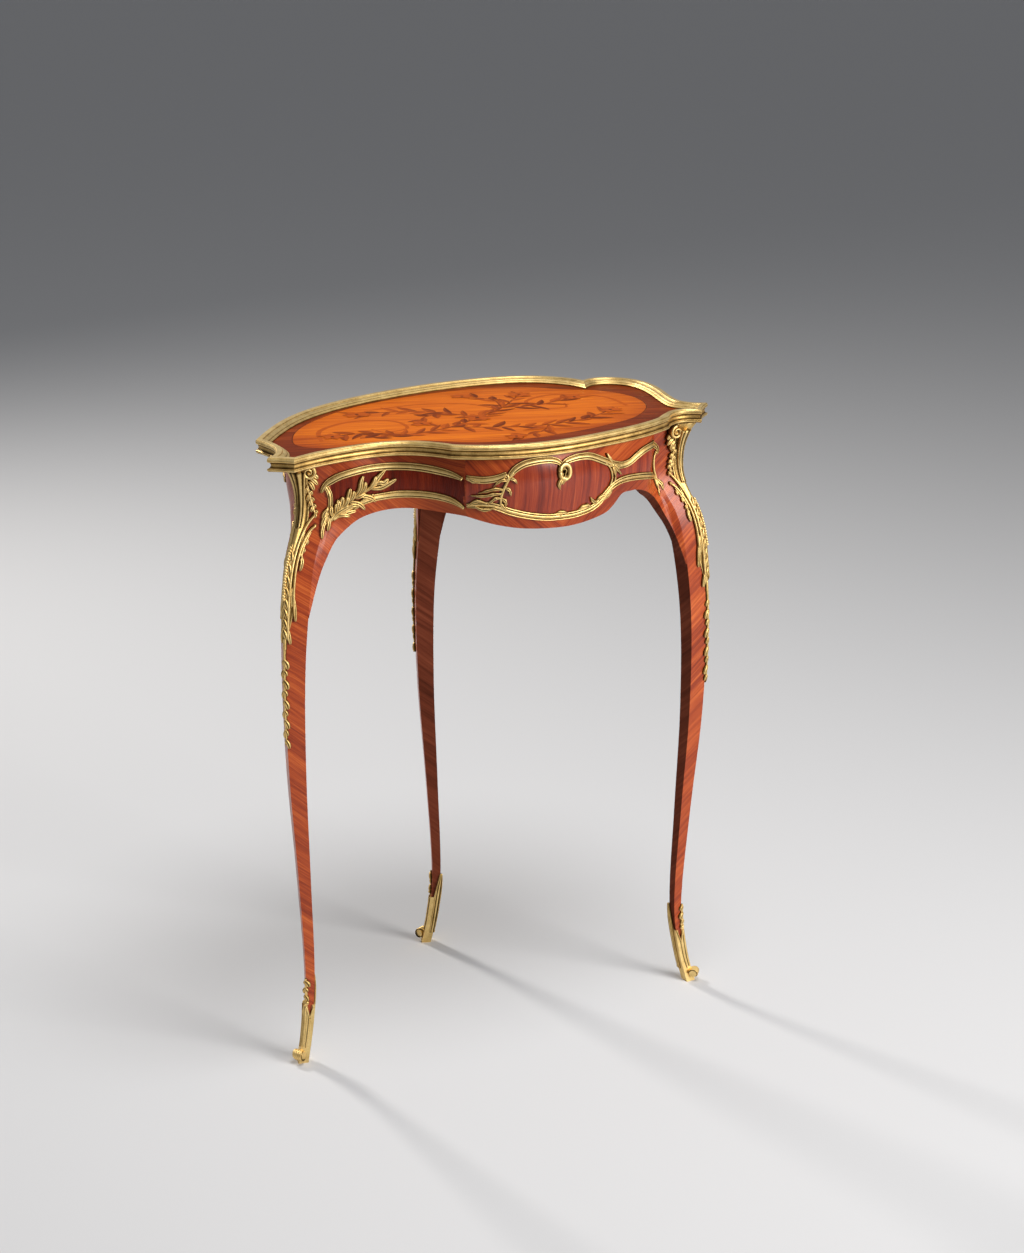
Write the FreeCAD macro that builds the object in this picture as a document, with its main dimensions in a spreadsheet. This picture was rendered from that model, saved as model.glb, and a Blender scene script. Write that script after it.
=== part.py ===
import FreeCAD, Part
import math
import os
import re

Vector = FreeCAD.Vector
UP = Vector(0, 0, 1)

# Driving dimensions: millimetres, and degrees for the three leg headings.
DIMENSIONS = {
    # whole table
    "table_height": 750,
    "top_width": 573,
    "top_depth": 351.7,
    "plan_width": 573,
    "plan_depth": 351.7,
    # lid: rim, board and veneers
    "rim_height": 16,
    "rim_width": 15,
    "panel_recess": 7,
    "veneer_thickness": 1,
    "lid_gap": 0.3,
    "rim_pin_radius": 0.9,
    "rim_pin_length": 23,
    # case
    "wall_thickness": 16,
    "wall_swell": 4,
    "well_depth": 48,
    "bottom_thickness": 8,
    "wall_inset": 0.8,
    "joint_gap": 0.7,
    "bottom_gap": 0.8,
    "seat_gap": 0.15,
    "ledger_size": 7,
    # legs: how far the arris stands out from the foot's axis, and the width across a face
    "left_heading": 215,
    "right_heading": 322,
    "back_heading": 118,
    "neck_set": -28,
    "back_neck_set": -7,
    "neck_width": 30,
    "neck_drop": 62,
    "shoulder_drop": 94,
    "thigh_drop": 144,
    "thigh_set": 3,
    "thigh_width": 28,
    "knee_set": 10.5,
    "knee_width": 23.5,
    "calf_set": 8,
    "calf_width": 19.8,
    "shin_set": -4,
    "shin_width": 14.5,
    "ankle_set": -13,
    "ankle_width": 10.5,
    "instep_height": 36,
    "instep_set": -5.2,
    "instep_width": 8.8,
    "toe_set": 5,
    "toe_width": 9,
    # sabots and chutes
    "sabot_height": 70,
    "sabot_notch": 18,
    "sabot_leaf": 104,
    "leaf_spread": 3.5,
    "strip_spread": 1.6,
    "sabot_wall": 1.6,
    "sole_height": 11,
    "toe_scroll_radius": 5,
    "toe_rise": 11,
    "toe_reach": 2,
    "chute_length": 325,
    "husk_length": 186,
    "chute_wing": 22,
    "chute_lift": 5,
    "chute_crest": 20,
    "back_chute_crest": 9,
    # flat mounts on the case walls
    "frame_width": 5.7,
    "frame_height": 3,
    "mount_gap": 0.3,
    # lid hinges
    "hinge_length": 30,
    "hinge_spacing": 60,
    "hinge_place": 88,
    "hinge_middle": "=hinge_place * top_width / plan_width",
    "knuckle_radius": 3.5,
    "hinge_pin_radius": 1.5,
    "pin_clearance": 0.08,
    "leaf_thickness": 2,
    "lid_leaf_reach": 42,
    "case_leaf_reach": 28,
    "knuckle_gap": 0.4,
    "screw_radius": 1.3,
    "screw_head_radius": 2.6,
    "screw_length": 6,
    "screw_gap": 0.1,
    # lock
    "keyhole_place": 50.5,
    "lock_middle": "=keyhole_place * top_width / plan_width",
    "lock_width": 46,
    "lock_depth": 12,
    "lock_height": 30,
    "front_reach": 158.2,
    "lock_inset": 13.7,
    "lock_set": "=lock_inset - front_reach * top_depth / plan_depth",
    "lock_screw_length": 15,
    "bolt_width": 20,
    "bolt_depth": 3,
    "bolt_height": 7,
    "bolt_throw": 7,
    "bolt_clearance": 0.25,
    "staple_width": 4,
    "staple_depth": 5.5,
    "staple_drop": 13,
    "staple_foot": 1.4,
    "staple_room": 0.8,
    "staple_offset": 3,
    "bolt_lead": 1.5,
    "link_plate_width": 34,
    "link_plate_depth": 11,
    "link_plate_thickness": 1.5,
    "keyhole_drop": 23,
    "keyhole_radius": 2.4,
    "keyhole_slot": 2.2,
    "keyhole_fall": 6,
    "liner_wall": 0.9,
}

doc = FreeCAD.newDocument("work_table")
sheet = doc.addObject("Spreadsheet::Sheet", "sizes")
for row, (alias, value) in enumerate(DIMENSIONS.items(), start=1):
    sheet.set(f"A{row}", alias)
    sheet.set(f"B{row}", str(value))
    sheet.setAlias(f"B{row}", alias)
doc.recompute()


def size(alias):
    return float(sheet.get(alias))


LID_BOTTOM = size("table_height") - size("rim_height")
CASE_TOP = LID_BOTTOM - size("lid_gap")
PANEL_TOP = size("table_height") - size("panel_recess")
BOARD_TOP = PANEL_TOP - size("veneer_thickness")
FLOOR_TOP = CASE_TOP - size("well_depth")

# The plan below is drawn at plan_width and plan_depth, off centre in depth, and stretches with the top.
WIDER = size("top_width") / size("plan_width")
DEEPER = size("top_depth") / size("plan_depth")
PLAN_MIDDLE = 1.65


def plan(x, y):
    return Vector(x * WIDER, (y - PLAN_MIDDLE) * DEEPER, 0)


# Outer edge of the top, anticlockwise from the front tip of the left ear, one run per stretch
# between corners. Each run starts where the one before it ends.
TOP_EDGE = {
    "scoop": [(-261.5, -129), (-224, -113), (-184.5, -103), (-150, -99.5), (-122, -105), (-99, -121),
              (-81.5, -143)],
    "front": [(-81.5, -143), (-33.5, -167), (38.5, -174), (109.5, -159), (181.5, -132), (210.5, -114)],
    "right_neck": [(210.5, -114), (220, -102), (230, -95), (240.5, -92.5), (251, -95.5), (260.5, -102)],
    "right_end": [(260.5, -102), (271.5, -84), (286.5, -69)],
    "right": [(286.5, -69), (272, -61), (263, -48), (262.5, -30), (268, 0), (275, 45), (266, 92),
              (239, 115), (207.5, 110)],
    "back": [(207.5, 110), (190, 138), (154, 164), (90, 175.5), (27, 171), (-48.5, 153), (-125.5, 121),
             (-180, 85), (-224, 40), (-269.5, -23.5)],
    "left_notch": [(-269.5, -23.5), (-264, -46), (-263, -69), (-270.5, -92), (-286.5, -111)],
    "left_end": [(-286.5, -111), (-274, -119), (-261.5, -129)],
}
# The narrow ears draw in faster than their corners' mitres: sideways step for each millimetre of offset.
EAR_STEPS = {
    "right_end": [(-0.233, 1.133), (-0.733, 0.2), (-1.633, -0.467)],
    "left_end": [(1.633, 0.333), (1.033, 0.667), (0.5, 1.133)],
}
EAR_RUNS = ("right_neck", "right_end", "left_notch", "left_end")
# Edge of the pale field inside its dark border.
FIELD_EDGE = [(-228, -36), (-196, 34), (-124, 98), (-54, 130), (14, 145), (88, 147), (140, 129),
              (176, 98), (212, 74), (234, 26), (225, -28), (187, -74), (138, -98), (92, -112), (12, -124),
              (-40, -114), (-92, -80), (-150, -66), (-202, -70)]

# Section of the rim: share of its width in from the edge, share of its height up from the lid's underside.
RIM_PROFILE = [(0.07, 0), (0, 0.08), (0, 0.2), (0.15, 0.28), (0.2, 0.45), (0.15, 0.6), (0.03, 0.67),
               (0, 0.75), (0, 0.89), (0.09, 1), (0.45, 1), (0.52, 0.9), (0.72, 0.84), (1, 0.64), (1, 0)]


def spline(points):
    curve = Part.BSplineCurve()
    curve.interpolate(points)
    return curve


def lattice_surface(grid, along, across):
    """Smooth surface through columns of points that share one set of parameters each way."""
    rows = []
    for points in zip(*grid):
        row = Part.BSplineCurve()
        row.interpolate(Points=list(points), Parameters=along)
        rows.append(row)
    columns = []
    for poles in zip(*[row.getPoles() for row in rows]):
        column = Part.BSplineCurve()
        column.interpolate(Points=list(poles), Parameters=across)
        columns.append(column)
    surface = Part.BSplineSurface()
    surface.buildFromPolesMultsKnots(
        [column.getPoles() for column in columns],
        rows[0].getMultiplicities(), columns[0].getMultiplicities(),
        rows[0].getKnots(), columns[0].getKnots(),
        False, False, rows[0].Degree, columns[0].Degree)
    return surface


def left_of(direction):
    return Vector(-direction.y, direction.x, 0)


def mitre(first, second):
    """Sideways step at a corner, for each millimetre of offset to the left of both directions."""
    a = left_of(first).normalize()
    b = left_of(second).normalize()
    return (a + b) / (1 + a.dot(b))


def closed_solid(faces):
    shell = Part.makeShell(faces)
    shell.sewShape()
    solid = Part.makeSolid(shell)
    if solid.Volume < 0:
        solid.reverse()
    return solid


class Outline:
    """A closed outline of smooth runs that can be offset inwards with mitred corners."""

    def __init__(self, runs):
        self.points = {name: [plan(x, y) for x, y in points] for name, points in runs.items()}
        headings = {}
        for name, points in self.points.items():
            curve = spline(points)
            headings[name] = [curve.tangent(curve.parameter(point))[0] for point in points]
        self.inward = {}
        names = list(runs)
        for index, name in enumerate(names):
            before = headings[names[index - 1]]
            after = headings[names[(index + 1) % len(names)]]
            here = headings[name]
            middle = [left_of(heading).normalize() for heading in here[1:-1]]
            if name in EAR_RUNS:
                middle = [Vector(step.x * WIDER, step.y * DEEPER, 0) for step in middle]
            self.inward[name] = [mitre(before[-1], here[0]), *middle, mitre(here[-1], after[0])]
        for name, steps in EAR_STEPS.items():
            index = names.index(name)
            self.inward[name] = [Vector(x * WIDER, y * DEEPER, 0) for x, y in steps]
            self.inward[names[index - 1]][-1] = self.inward[name][0]
            self.inward[names[(index + 1) % len(names)]][0] = self.inward[name][-1]

    def run(self, name, offset, height):
        pairs = zip(self.points[name], self.inward[name])
        return [point + inward * offset + UP * height for point, inward in pairs]

    def prism(self, offset, bottom, top):
        edges = [spline(self.run(name, offset, bottom)).toShape() for name in self.points]
        return Part.Face(Part.Wire(edges)).extrude(UP * (top - bottom))

    def moulding(self, names, profile):
        """A moulding along consecutive runs; profile is a closed list of offset and height."""
        faces = []
        for name in names:
            edges = [spline(self.run(name, offset, height)).toShape() for offset, height in profile]
            faces += [Part.makeRuledSurface(edge, edges[index - 1]) for index, edge in enumerate(edges)]
        for name, end in ((names[0], 0), (names[-1], -1)):
            corners = [self.run(name, offset, height)[end] for offset, height in profile]
            faces.append(Part.Face(Part.makePolygon(corners + corners[:1])))
        return closed_solid(faces)


def smooth_value(stations, at, column):
    """Value of a column of stations (sorted by their first entry) on a smooth curve through them."""
    keys = [station[0] for station in stations]
    values = [station[column] for station in stations]
    slopes = []
    for index in range(len(keys)):
        low = max(index - 1, 0)
        high = min(index + 1, len(keys) - 1)
        slopes.append((values[high] - values[low]) / (keys[high] - keys[low]))
    index = max(i for i in range(len(keys) - 1) if keys[i] <= max(at, keys[0]))
    span = keys[index + 1] - keys[index]
    step = min(max((at - keys[index]) / span, 0), 1)
    rise = step * step * (3 - 2 * step)
    lead = step * (1 - step) ** 2
    tail = step * step * (step - 1)
    blend = values[index] * (1 - rise) + values[index + 1] * rise
    return blend + span * (lead * slopes[index] + tail * slopes[index + 1])


class Leg:
    """A cabriole leg of square section, turned so that one arris points along its heading."""

    # Heights of the lower stations, as shares of the thigh's height.
    KNEE, CALF, SHIN, ANKLE = 0.835, 0.625, 0.4, 0.17
    SECTIONS = 22
    FOOT_SECTIONS = 5
    SABOT_SECTIONS = 12
    SPAN = 60
    CHUTE_SECTIONS = 24

    def __init__(self, foot, heading, neck_set):
        angle = math.radians(heading)
        self.foot = foot
        self.out = Vector(math.cos(angle), math.sin(angle), 0)
        self.side = left_of(self.out)
        self.neck_set = neck_set
        thigh = CASE_TOP - size("thigh_drop")
        shoulder_set = (neck_set + size("thigh_set")) / 2
        shoulder_width = (size("neck_width") + size("thigh_width")) / 2
        self.stations = [
            (0, size("toe_set"), size("toe_width")),
            (size("instep_height"), size("instep_set"), size("instep_width")),
            (thigh * self.ANKLE, size("ankle_set"), size("ankle_width")),
            (thigh * self.SHIN, size("shin_set"), size("shin_width")),
            (thigh * self.CALF, size("calf_set"), size("calf_width")),
            (thigh * self.KNEE, size("knee_set"), size("knee_width")),
            (thigh, size("thigh_set"), size("thigh_width")),
            (CASE_TOP - size("shoulder_drop"), shoulder_set, shoulder_width),
            (CASE_TOP - size("neck_drop"), neck_set, size("neck_width")),
            (CASE_TOP, neck_set, size("neck_width")),
        ]

    def arris_set(self, height):
        return smooth_value(self.stations, height, 1)

    def width(self, height):
        return smooth_value(self.stations, height, 2)

    def arris(self, height):
        return self.foot + self.out * self.arris_set(height) + UP * height

    def square(self, height, grow=0):
        """Corners at a height: arris, right, inner and left, with the faces moved out by grow."""
        half = self.width(height) / math.sqrt(2)
        centre = self.arris(height) - self.out * half
        reach = half + grow * math.sqrt(2)
        return [centre + step * reach for step in (self.out, -self.side, -self.out, self.side)]

    def face(self, turn):
        """Direction away from the arris along the left (1) or right (-1) outer face, and its normal."""
        along = (self.side * turn - self.out).normalize()
        normal = (self.side * turn + self.out).normalize()
        return along, normal

    def heights(self, bottom, top, count):
        return [bottom + (top - bottom) * index / (count - 1) for index in range(count)]

    def loft(self, heights, section):
        """Solid through polygon sections, one smooth face for each side of the polygon."""
        sections = [section(height) for height in heights]
        edges = list(zip(*sections))
        faces = []
        for index, edge in enumerate(edges):
            faces.append(lattice_surface([list(edges[index - 1]), list(edge)], [0, 1], heights).toShape())
        for corners in (sections[0], sections[-1]):
            faces.append(Part.Face(Part.makePolygon(corners + corners[:1])))
        return closed_solid(faces)

    def solid(self):
        foot = self.heights(size("sole_height"), size("sabot_height"), self.FOOT_SECTIONS)
        shaft = self.heights(size("sole_height"), CASE_TOP, self.SECTIONS)
        return self.loft(sorted({*foot, *shaft}), self.square)

    def slab(self, corners):
        """Slab right through the leg, with corners of reach along the heading and height."""
        points = [self.foot + self.out * reach + UP * height - self.side * self.SPAN for reach, height in corners]
        return Part.Face(Part.makePolygon(points + points[:1])).extrude(self.side * 2 * self.SPAN)

    def sabot(self, wood):
        """Cast shoe on a rolled toe: notched on its outer faces, with a tall leaf inside and a strip up the arris."""
        wall = size("sabot_wall")
        height = size("sabot_height")
        tip = size("sabot_leaf")
        shoe = self.loft(self.heights(0, tip, self.SABOT_SECTIONS), lambda at: self.square(at, wall))
        seat = height - wall
        inner = [self.arris_set(at) - self.width(at) * math.sqrt(2) for at in (seat, tip)]
        shape = self.slab([(-self.SPAN, -wall), (self.SPAN, -wall), (self.SPAN, height), (-self.SPAN, height)])
        leaf = self.slab([(-self.SPAN, seat), (inner[0] + size("leaf_spread"), seat), (inner[1] - wall / 2, tip),
                          (-self.SPAN, tip)])
        strip = self.slab([(self.SPAN, seat), (self.arris_set(seat) - size("strip_spread"), seat),
                           (self.arris_set(tip) + wall / 2, tip), (self.SPAN, tip)])
        shoe = shoe.common(shape.fuse([leaf, strip]))
        radius = size("toe_scroll_radius")
        length = size("toe_width") + 2 * wall
        toe = self.arris(size("toe_rise")) + self.out * (wall + size("toe_reach")) - self.side * (length / 2)
        scroll = Part.makeCylinder(radius, length, toe, self.side)
        shoe = shoe.fuse(scroll).removeSplitter().cut(wood)
        for turn in (1, -1):
            along, normal = self.face(turn)
            width = self.width(height)
            middle = self.arris(height) + along * (width / 2) + UP
            corners = [middle - along * (width * 0.32), middle + along * (width * 0.32),
                       middle - UP * (size("sabot_notch") + 1)]
            wedge = Part.Face(Part.makePolygon(corners + corners[:1]))
            wedge.translate(normal * -width / 2)
            shoe = shoe.cut(wedge.extrude(normal * width * 2))
        return max(shoe.Solids, key=lambda solid: solid.Volume)

    def chute(self, crest):
        """Leafy mount over the arris: wings on both outer faces, narrowing down the leg."""
        gap = size("seat_gap")
        length = size("chute_length")
        wing = size("chute_wing")
        lift = size("chute_lift")
        # Drop below the case's top, wing on each face and lift of the arris.
        stations = [
            (1.5, wing * 0.7, crest),
            (16, wing * 0.72, crest * 0.55),
            (38, wing * 0.95, lift * 1.1),
            (60, wing, lift),
            (90, wing * 0.8, lift),
            (140, wing * 0.5, lift),
            (size("husk_length"), wing * 0.32, lift * 0.9),
            (size("husk_length") + 14, wing * 0.16, lift * 0.7),
            (length, wing * 0.1, lift * 0.4),
        ]

        def section(height):
            drop = CASE_TOP - height
            spread = smooth_value(stations, drop, 1)
            ridge = smooth_value(stations, drop, 2)
            arris = self.arris(height)
            corners = []
            for turn in (1, -1):
                along, normal = self.face(turn)
                foot = arris + along * spread + normal * gap
                corners.append([foot, foot + normal * lift * 0.35])
            left, right = corners
            inner = arris + self.out * (gap * math.sqrt(2))
            return [inner, left[0], left[1], arris + self.out * (ridge + gap), right[1], right[0]]

        heights = self.heights(CASE_TOP - length, CASE_TOP - stations[0][0], self.CHUTE_SECTIONS)
        return self.loft(heights, section)


class Joint:
    """Where a wall meets a leg: butted to the back of an outer face, or let onto that face itself."""

    def __init__(self, leg, turn, from_arris=None):
        self.leg = leg
        self.along, self.normal = leg.face(turn)
        self.from_arris = from_arris

    def seat(self, drop):
        height = CASE_TOP - drop
        arris = self.leg.arris(height) - UP * height
        if self.from_arris:
            return arris + self.along * self.from_arris + self.normal * size("joint_gap")
        step = self.along * (self.leg.width(height) + size("joint_gap"))
        return arris + step - self.normal * size("wall_inset")

    def lead(self):
        """Direction in which the wall leaves the leg."""
        return self.normal if self.from_arris else self.along

    def inward(self):
        """Step through the wall's thickness at the joint, for each millimetre of thickness."""
        return self.along if self.from_arris else -self.normal


class Wall:
    """One stretch of the case wall: its plan, its swell, and where it springs from the legs."""

    LEAD = 6
    FLARE_REACH = 80
    SWELL_HALF_WAVE = 62
    SWELL_END = 92
    ROWS = 8
    COLUMN_STEP = 14
    MITRE_REACH = 45
    # Lower edge beside a leg: distance from the leg and drop below the case's top.
    BRACKET = [(0, 177), (1.8, 160), (5, 134), (9.5, 112), (13, 100), (20, 88)]

    def __init__(self, drawn, points, hem, start=None, end=None):
        path = [plan(x, y) for x, y in points]
        self.start = start
        self.end = end
        if start:
            path = self.root(start) + path
        if end:
            path = path + self.root(end)[::-1]
        self.curve = spline(path)
        self.length = self.curve.length()
        self.stretch = self.length / drawn
        self.hem = hem
        self.mitres = {}
        if start:
            self.mitres[0] = start.inward()
        if end:
            self.mitres[self.length] = end.inward()

    def root(self, joint):
        """Plan points where the wall leaves a leg."""
        seat = joint.seat(0)
        return [seat] if joint.from_arris else [seat, seat + joint.lead() * self.LEAD]

    def heading(self, distance):
        return self.curve.tangent(self.curve.parameterAtDistance(distance, self.curve.FirstParameter))[0]

    def columns(self):
        """Distances along the wall, each with the drop of the lower edge there."""
        columns = [(share * self.length, drop) for share, drop in self.hem]
        if self.start:
            columns = self.BRACKET + columns
        if self.end:
            columns = columns + [(self.length - distance, drop) for distance, drop in self.BRACKET[::-1]]
        filled = []
        for (start, drop), (end, after) in zip(columns, columns[1:]):
            steps = max(1, round((end - start) / self.COLUMN_STEP))
            stops = [start + (end - start) * step / steps for step in range(steps)]
            filled += [(stop, smooth_value(columns, stop, 1)) for stop in stops]
        return filled + columns[-1:]

    def point(self, distance, drop, out, swelled=True):
        """Point of the outer face, moved out by a distance along the wall's normal."""
        distance = min(max(distance, 0), self.length)
        place = self.curve.value(self.curve.parameterAtDistance(distance, self.curve.FirstParameter))
        inward = left_of(self.heading(distance)).normalize()
        for end, step in self.mitres.items():
            near = max(0, 1 - abs(distance - end) / self.MITRE_REACH) ** 2
            inward = inward * (1 - near) + step * near
        plain = 1
        for joint, away in ((self.start, distance), (self.end, self.length - distance)):
            if joint:
                near = max(0, 1 - away / self.FLARE_REACH) ** 2
                place += (joint.seat(drop) - joint.seat(0)) * near
                plain *= 1 - near
        wave = math.sin(math.pi * min(drop, self.SWELL_END) / self.SWELL_HALF_WAVE)
        swell = size("wall_swell") * wave * plain if swelled else 0
        return place - inward * (swell + out) + UP * (CASE_TOP - drop)

    def skin(self, out, swelled):
        columns = self.columns()
        shares = [row / (self.ROWS - 1) for row in range(self.ROWS)]
        grid = [[self.point(distance, drop * share, out, swelled) for share in shares] for distance, drop in columns]
        return lattice_surface(grid, [distance for distance, drop in columns], shares)

    def solid(self):
        outer = self.skin(0, True)
        inner = self.skin(-size("wall_thickness"), False)
        u_first, u_last, v_first, v_last = outer.bounds()
        faces = [outer.toShape(), inner.toShape()]
        for at in (u_first, u_last):
            faces.append(Part.makeRuledSurface(outer.uIso(at).toShape(), inner.uIso(at).toShape()))
        for at in (v_first, v_last):
            faces.append(Part.makeRuledSurface(outer.vIso(at).toShape(), inner.vIso(at).toShape()))
        return closed_solid(faces)


# Feet, and the legs that rise from them.
FEET = {"left": (-260.5, -93), "right": (267.5, -93), "back": (3.5, 156)}
LEGS = {
    "left": Leg(plan(*FEET["left"]), size("left_heading"), size("neck_set")),
    "right": Leg(plan(*FEET["right"]), size("right_heading"), size("neck_set")),
    "back": Leg(plan(*FEET["back"]), size("back_heading"), size("back_neck_set")),
}
# The back leg stands askew, and the left wall is let onto its face this far from the arris.
BACK_SEAT = 11

# Drawn length of each wall, its plan points between its ends, then its lower edge as share of length and drop.
WALLS = {
    "apron_scoop": Wall(
        165.7, [(-184.5, -84), (-150, -83.5), (-120, -88), (-91.5, -104), (-60.5, -136)],
        [(0.22, 74.5), (0.38, 67), (0.58, 65), (0.79, 68), (1, 70)],
        start=Joint(LEGS["left"], 1)),
    "apron_front": Wall(
        304.1, [(-60.5, -136), (-26.5, -152), (37.5, -158), (104.5, -143), (160, -121), (192, -103)],
        [(0, 70), (0.1, 79), (0.2, 85.5), (0.3, 89), (0.42, 91), (0.54, 89), (0.63, 84), (0.672, 75),
         (0.695, 68.5), (0.78, 67), (0.86, 75)],
        end=Joint(LEGS["right"], -1)),
    "apron_right": Wall(
        193.7, [(250, -18), (257.5, 12), (258.5, 50), (249.5, 85), (228, 99), (198.5, 92)],
        [(0.2, 73), (0.4, 67), (0.6, 74), (0.8, 80), (1, 70)],
        start=Joint(LEGS["right"], 1)),
    "apron_back": Wall(
        196.4, [(198.5, 92), (182, 118), (150, 145), (92, 158), (60, 153)],
        [(0, 70), (0.25, 80), (0.5, 74), (0.72, 68), (0.85, 72)],
        end=Joint(LEGS["back"], -1)),
    "apron_left": Wall(
        326.8, [(-43, 134), (-117.5, 104), (-168, 71), (-208, 28), (-228, -15)],
        [(0.1, 76), (0.25, 68), (0.5, 72), (0.75, 68), (0.9, 76)],
        start=Joint(LEGS["back"], 1, BACK_SEAT), end=Joint(LEGS["left"], -1)),
}


def join_at_corner(first, second):
    """Give two walls one mitred joint where the first ends and the second starts."""
    step = mitre(first.heading(first.length), second.heading(0))
    first.mitres[first.length] = step
    second.mitres[0] = step


join_at_corner(WALLS["apron_scoop"], WALLS["apron_front"])
join_at_corner(WALLS["apron_right"], WALLS["apron_back"])


class Mount:
    """A cast band on a wall. Its stations are distance along the wall, drop, and share of full width."""

    STEP = 7
    TOP_SHARE = 0.5

    def __init__(self, wall, stations, width, height, closed=False):
        self.wall = wall
        self.height = height
        self.closed = closed
        points = [Vector(distance, drop, share * width / 2) for distance, drop, share in stations]
        self.path = Part.BSplineCurve()
        self.path.interpolate(Points=points, PeriodicFlag=closed)

    def edge(self, side, share, out):
        """Points of one long edge of the band."""
        count = max(6, round(self.path.length() / self.STEP))
        first = self.path.FirstParameter
        last = self.path.LastParameter
        points = []
        for index in range(count if self.closed else count + 1):
            at = first + (last - first) * index / count
            place = self.path.value(at)
            heading = self.path.tangent(at)[0]
            across = left_of(heading).normalize() * (side * share * place.z)
            points.append(self.wall.point(place.x + across.x, place.y + across.y, out))
        return points

    def solid(self):
        gap = size("mount_gap")
        rows = [self.edge(1, 1, gap), self.edge(1, self.TOP_SHARE, gap + self.height),
                self.edge(-1, self.TOP_SHARE, gap + self.height), self.edge(-1, 1, gap)]
        curves = []
        for row in rows:
            curve = Part.BSplineCurve()
            curve.interpolate(Points=row, PeriodicFlag=self.closed)
            curves.append(curve.toShape())
        faces = [Part.makeRuledSurface(curve, curves[index - 1]) for index, curve in enumerate(curves)]
        if not self.closed:
            for end in (0, -1):
                corners = [row[end] for row in rows]
                faces += [Part.Face(Part.makePolygon([corners[0], corners[1], corners[2], corners[0]])),
                          Part.Face(Part.makePolygon([corners[0], corners[2], corners[3], corners[0]]))]
        return closed_solid(faces)


# Mouldings and leaves of the outer faces: distance along the wall, drop below the case's top, share of width.
SCOOP_TOP = [(5, 36, 0.6), (9, 24, 1), (25, 17.7, 1), (49, 14.7, 1), (74, 15.5, 1), (98, 16.7, 1), (123, 18.7, 1),
             (147, 22.7, 1), (162, 28, 0.8)]
SCOOP_BOTTOM = [(49, 48, 0.7), (70, 48.7, 1), (97, 47.7, 1), (123, 49.7, 1), (147, 52.7, 1), (162, 56.5, 0.8)]
SCOOP_SPRAY = [(6, 68, 0.5), (24, 60, 1), (38, 50, 1.5), (50, 38, 1.3), (62, 29, 0.8), (76, 25, 0.25)]
UPPER_LEFT = [(3, 25.7, 0.8), (21, 25.7, 1), (42, 21.7, 1), (56, 14.7, 1), (72, 8.2, 1), (94, 8.2, 1), (104.5, 13, 0.7)]
UPPER_RIGHT = [(124, 15.5, 0.7), (145, 10.7, 1), (173, 18.7, 1), (197, 29.7, 1), (227, 29.7, 1), (254, 21.7, 1),
               (281, 21.7, 1), (291, 31, 0.6)]
LOWER_BAND = [(283, 34, 0.6), (284, 48, 0.9), (276, 58, 1), (258, 57, 1), (226, 49.7, 1), (198, 50.7, 1),
              (181, 60.7, 1), (161, 72.7, 1), (137, 75.7, 1), (99, 74.7, 1), (69, 69.7, 1), (47, 63.7, 1),
              (23, 56, 1), (4, 56.5, 0.8)]
OVAL_LEFT = [(52, 25, 0.5), (46, 33, 1.2), (43, 43, 1.3), (47, 52, 1.1), (55, 58, 0.5)]
OVAL_RIGHT = [(166, 24, 0.5), (175, 31, 1), (180, 40, 1.2), (179, 48, 1.3), (172, 57, 0.9)]
# The loop's distances are measured from the keyhole.
KEYHOLE_LOOP = [(-6.3, 23, 0.7), (-4, 15.5, 0.7), (0, 13.5, 0.7), (4, 15.5, 0.7), (6.3, 23, 0.7), (4.6, 32, 0.7),
                (0, 38, 0.8), (-4.6, 32, 0.7)]
LEAVES = {
    "leaf_upper": [(17, 32, 0.5), (25, 36, 1.4), (36, 34, 0.3)],
    "leaf_lower": [(19, 50, 0.5), (26, 46, 1.4), (35, 49, 0.3)],
    "leaf_right": [(196, 36, 0.5), (199, 41, 1.4), (208, 39, 0.3)],
    "leaf_crest": [(165, 11, 0.4), (175, 8, 1.3), (190, 14, 0.3)],
}
OVALS = {
    "apron_right": [(62, 34, 1), (90, 15, 1), (120, 14, 1), (146, 36, 1), (120, 58, 1), (90, 52, 1)],
    "apron_back": [(42, 36, 1), (68, 22, 1), (108, 22, 1), (142, 36, 1), (108, 56, 1), (68, 56, 1)],
    "apron_left": [(60, 36, 1), (110, 15, 1), (190, 15, 1), (262, 36, 1), (190, 56, 1), (110, 54, 1)],
}

nodes = {}


def keep(label, shape):
    """Add a shape to the document as one named piece."""
    if shape.ShapeType == "Compound" and len(shape.Solids) == 1:
        shape = shape.Solids[0]
    item = doc.addObject("Part::Feature", label)
    item.Shape = shape
    item.Placement = FreeCAD.Placement()
    item.Label = label
    nodes[label] = item
    return item


def cells(expression):
    """Expression with its dimension names looked up in the sheet."""
    return re.sub(r"[a-z][a-z_]+", lambda name: "sizes." + name.group(), expression)


def place(item, x, y, z):
    for axis, expression in (("x", x), ("y", y), ("z", z)):
        item.setExpression(f"Placement.Base.{axis}", cells(expression))


def block(label, corner, length, width, height):
    item = doc.addObject("Part::Box", label)
    place(item, *corner)
    for name, expression in (("Length", length), ("Width", width), ("Height", height)):
        item.setExpression(name, cells(expression))
    return item


def rod(label, start, radius, length, axis):
    item = doc.addObject("Part::Cylinder", label)
    item.Placement = FreeCAD.Placement(Vector(), FreeCAD.Rotation(UP, axis))
    place(item, *start)
    item.setExpression("Radius", cells(radius))
    item.setExpression("Height", cells(length))
    return item


def fused(label, items):
    item = doc.addObject("Part::MultiFuse", label)
    item.Shapes = items
    return item


def without(label, base, tool):
    item = doc.addObject("Part::Cut", label)
    item.Base = base
    item.Tool = tool
    return item


def name_node(item, label):
    item.Label = label
    nodes[label] = item


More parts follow.
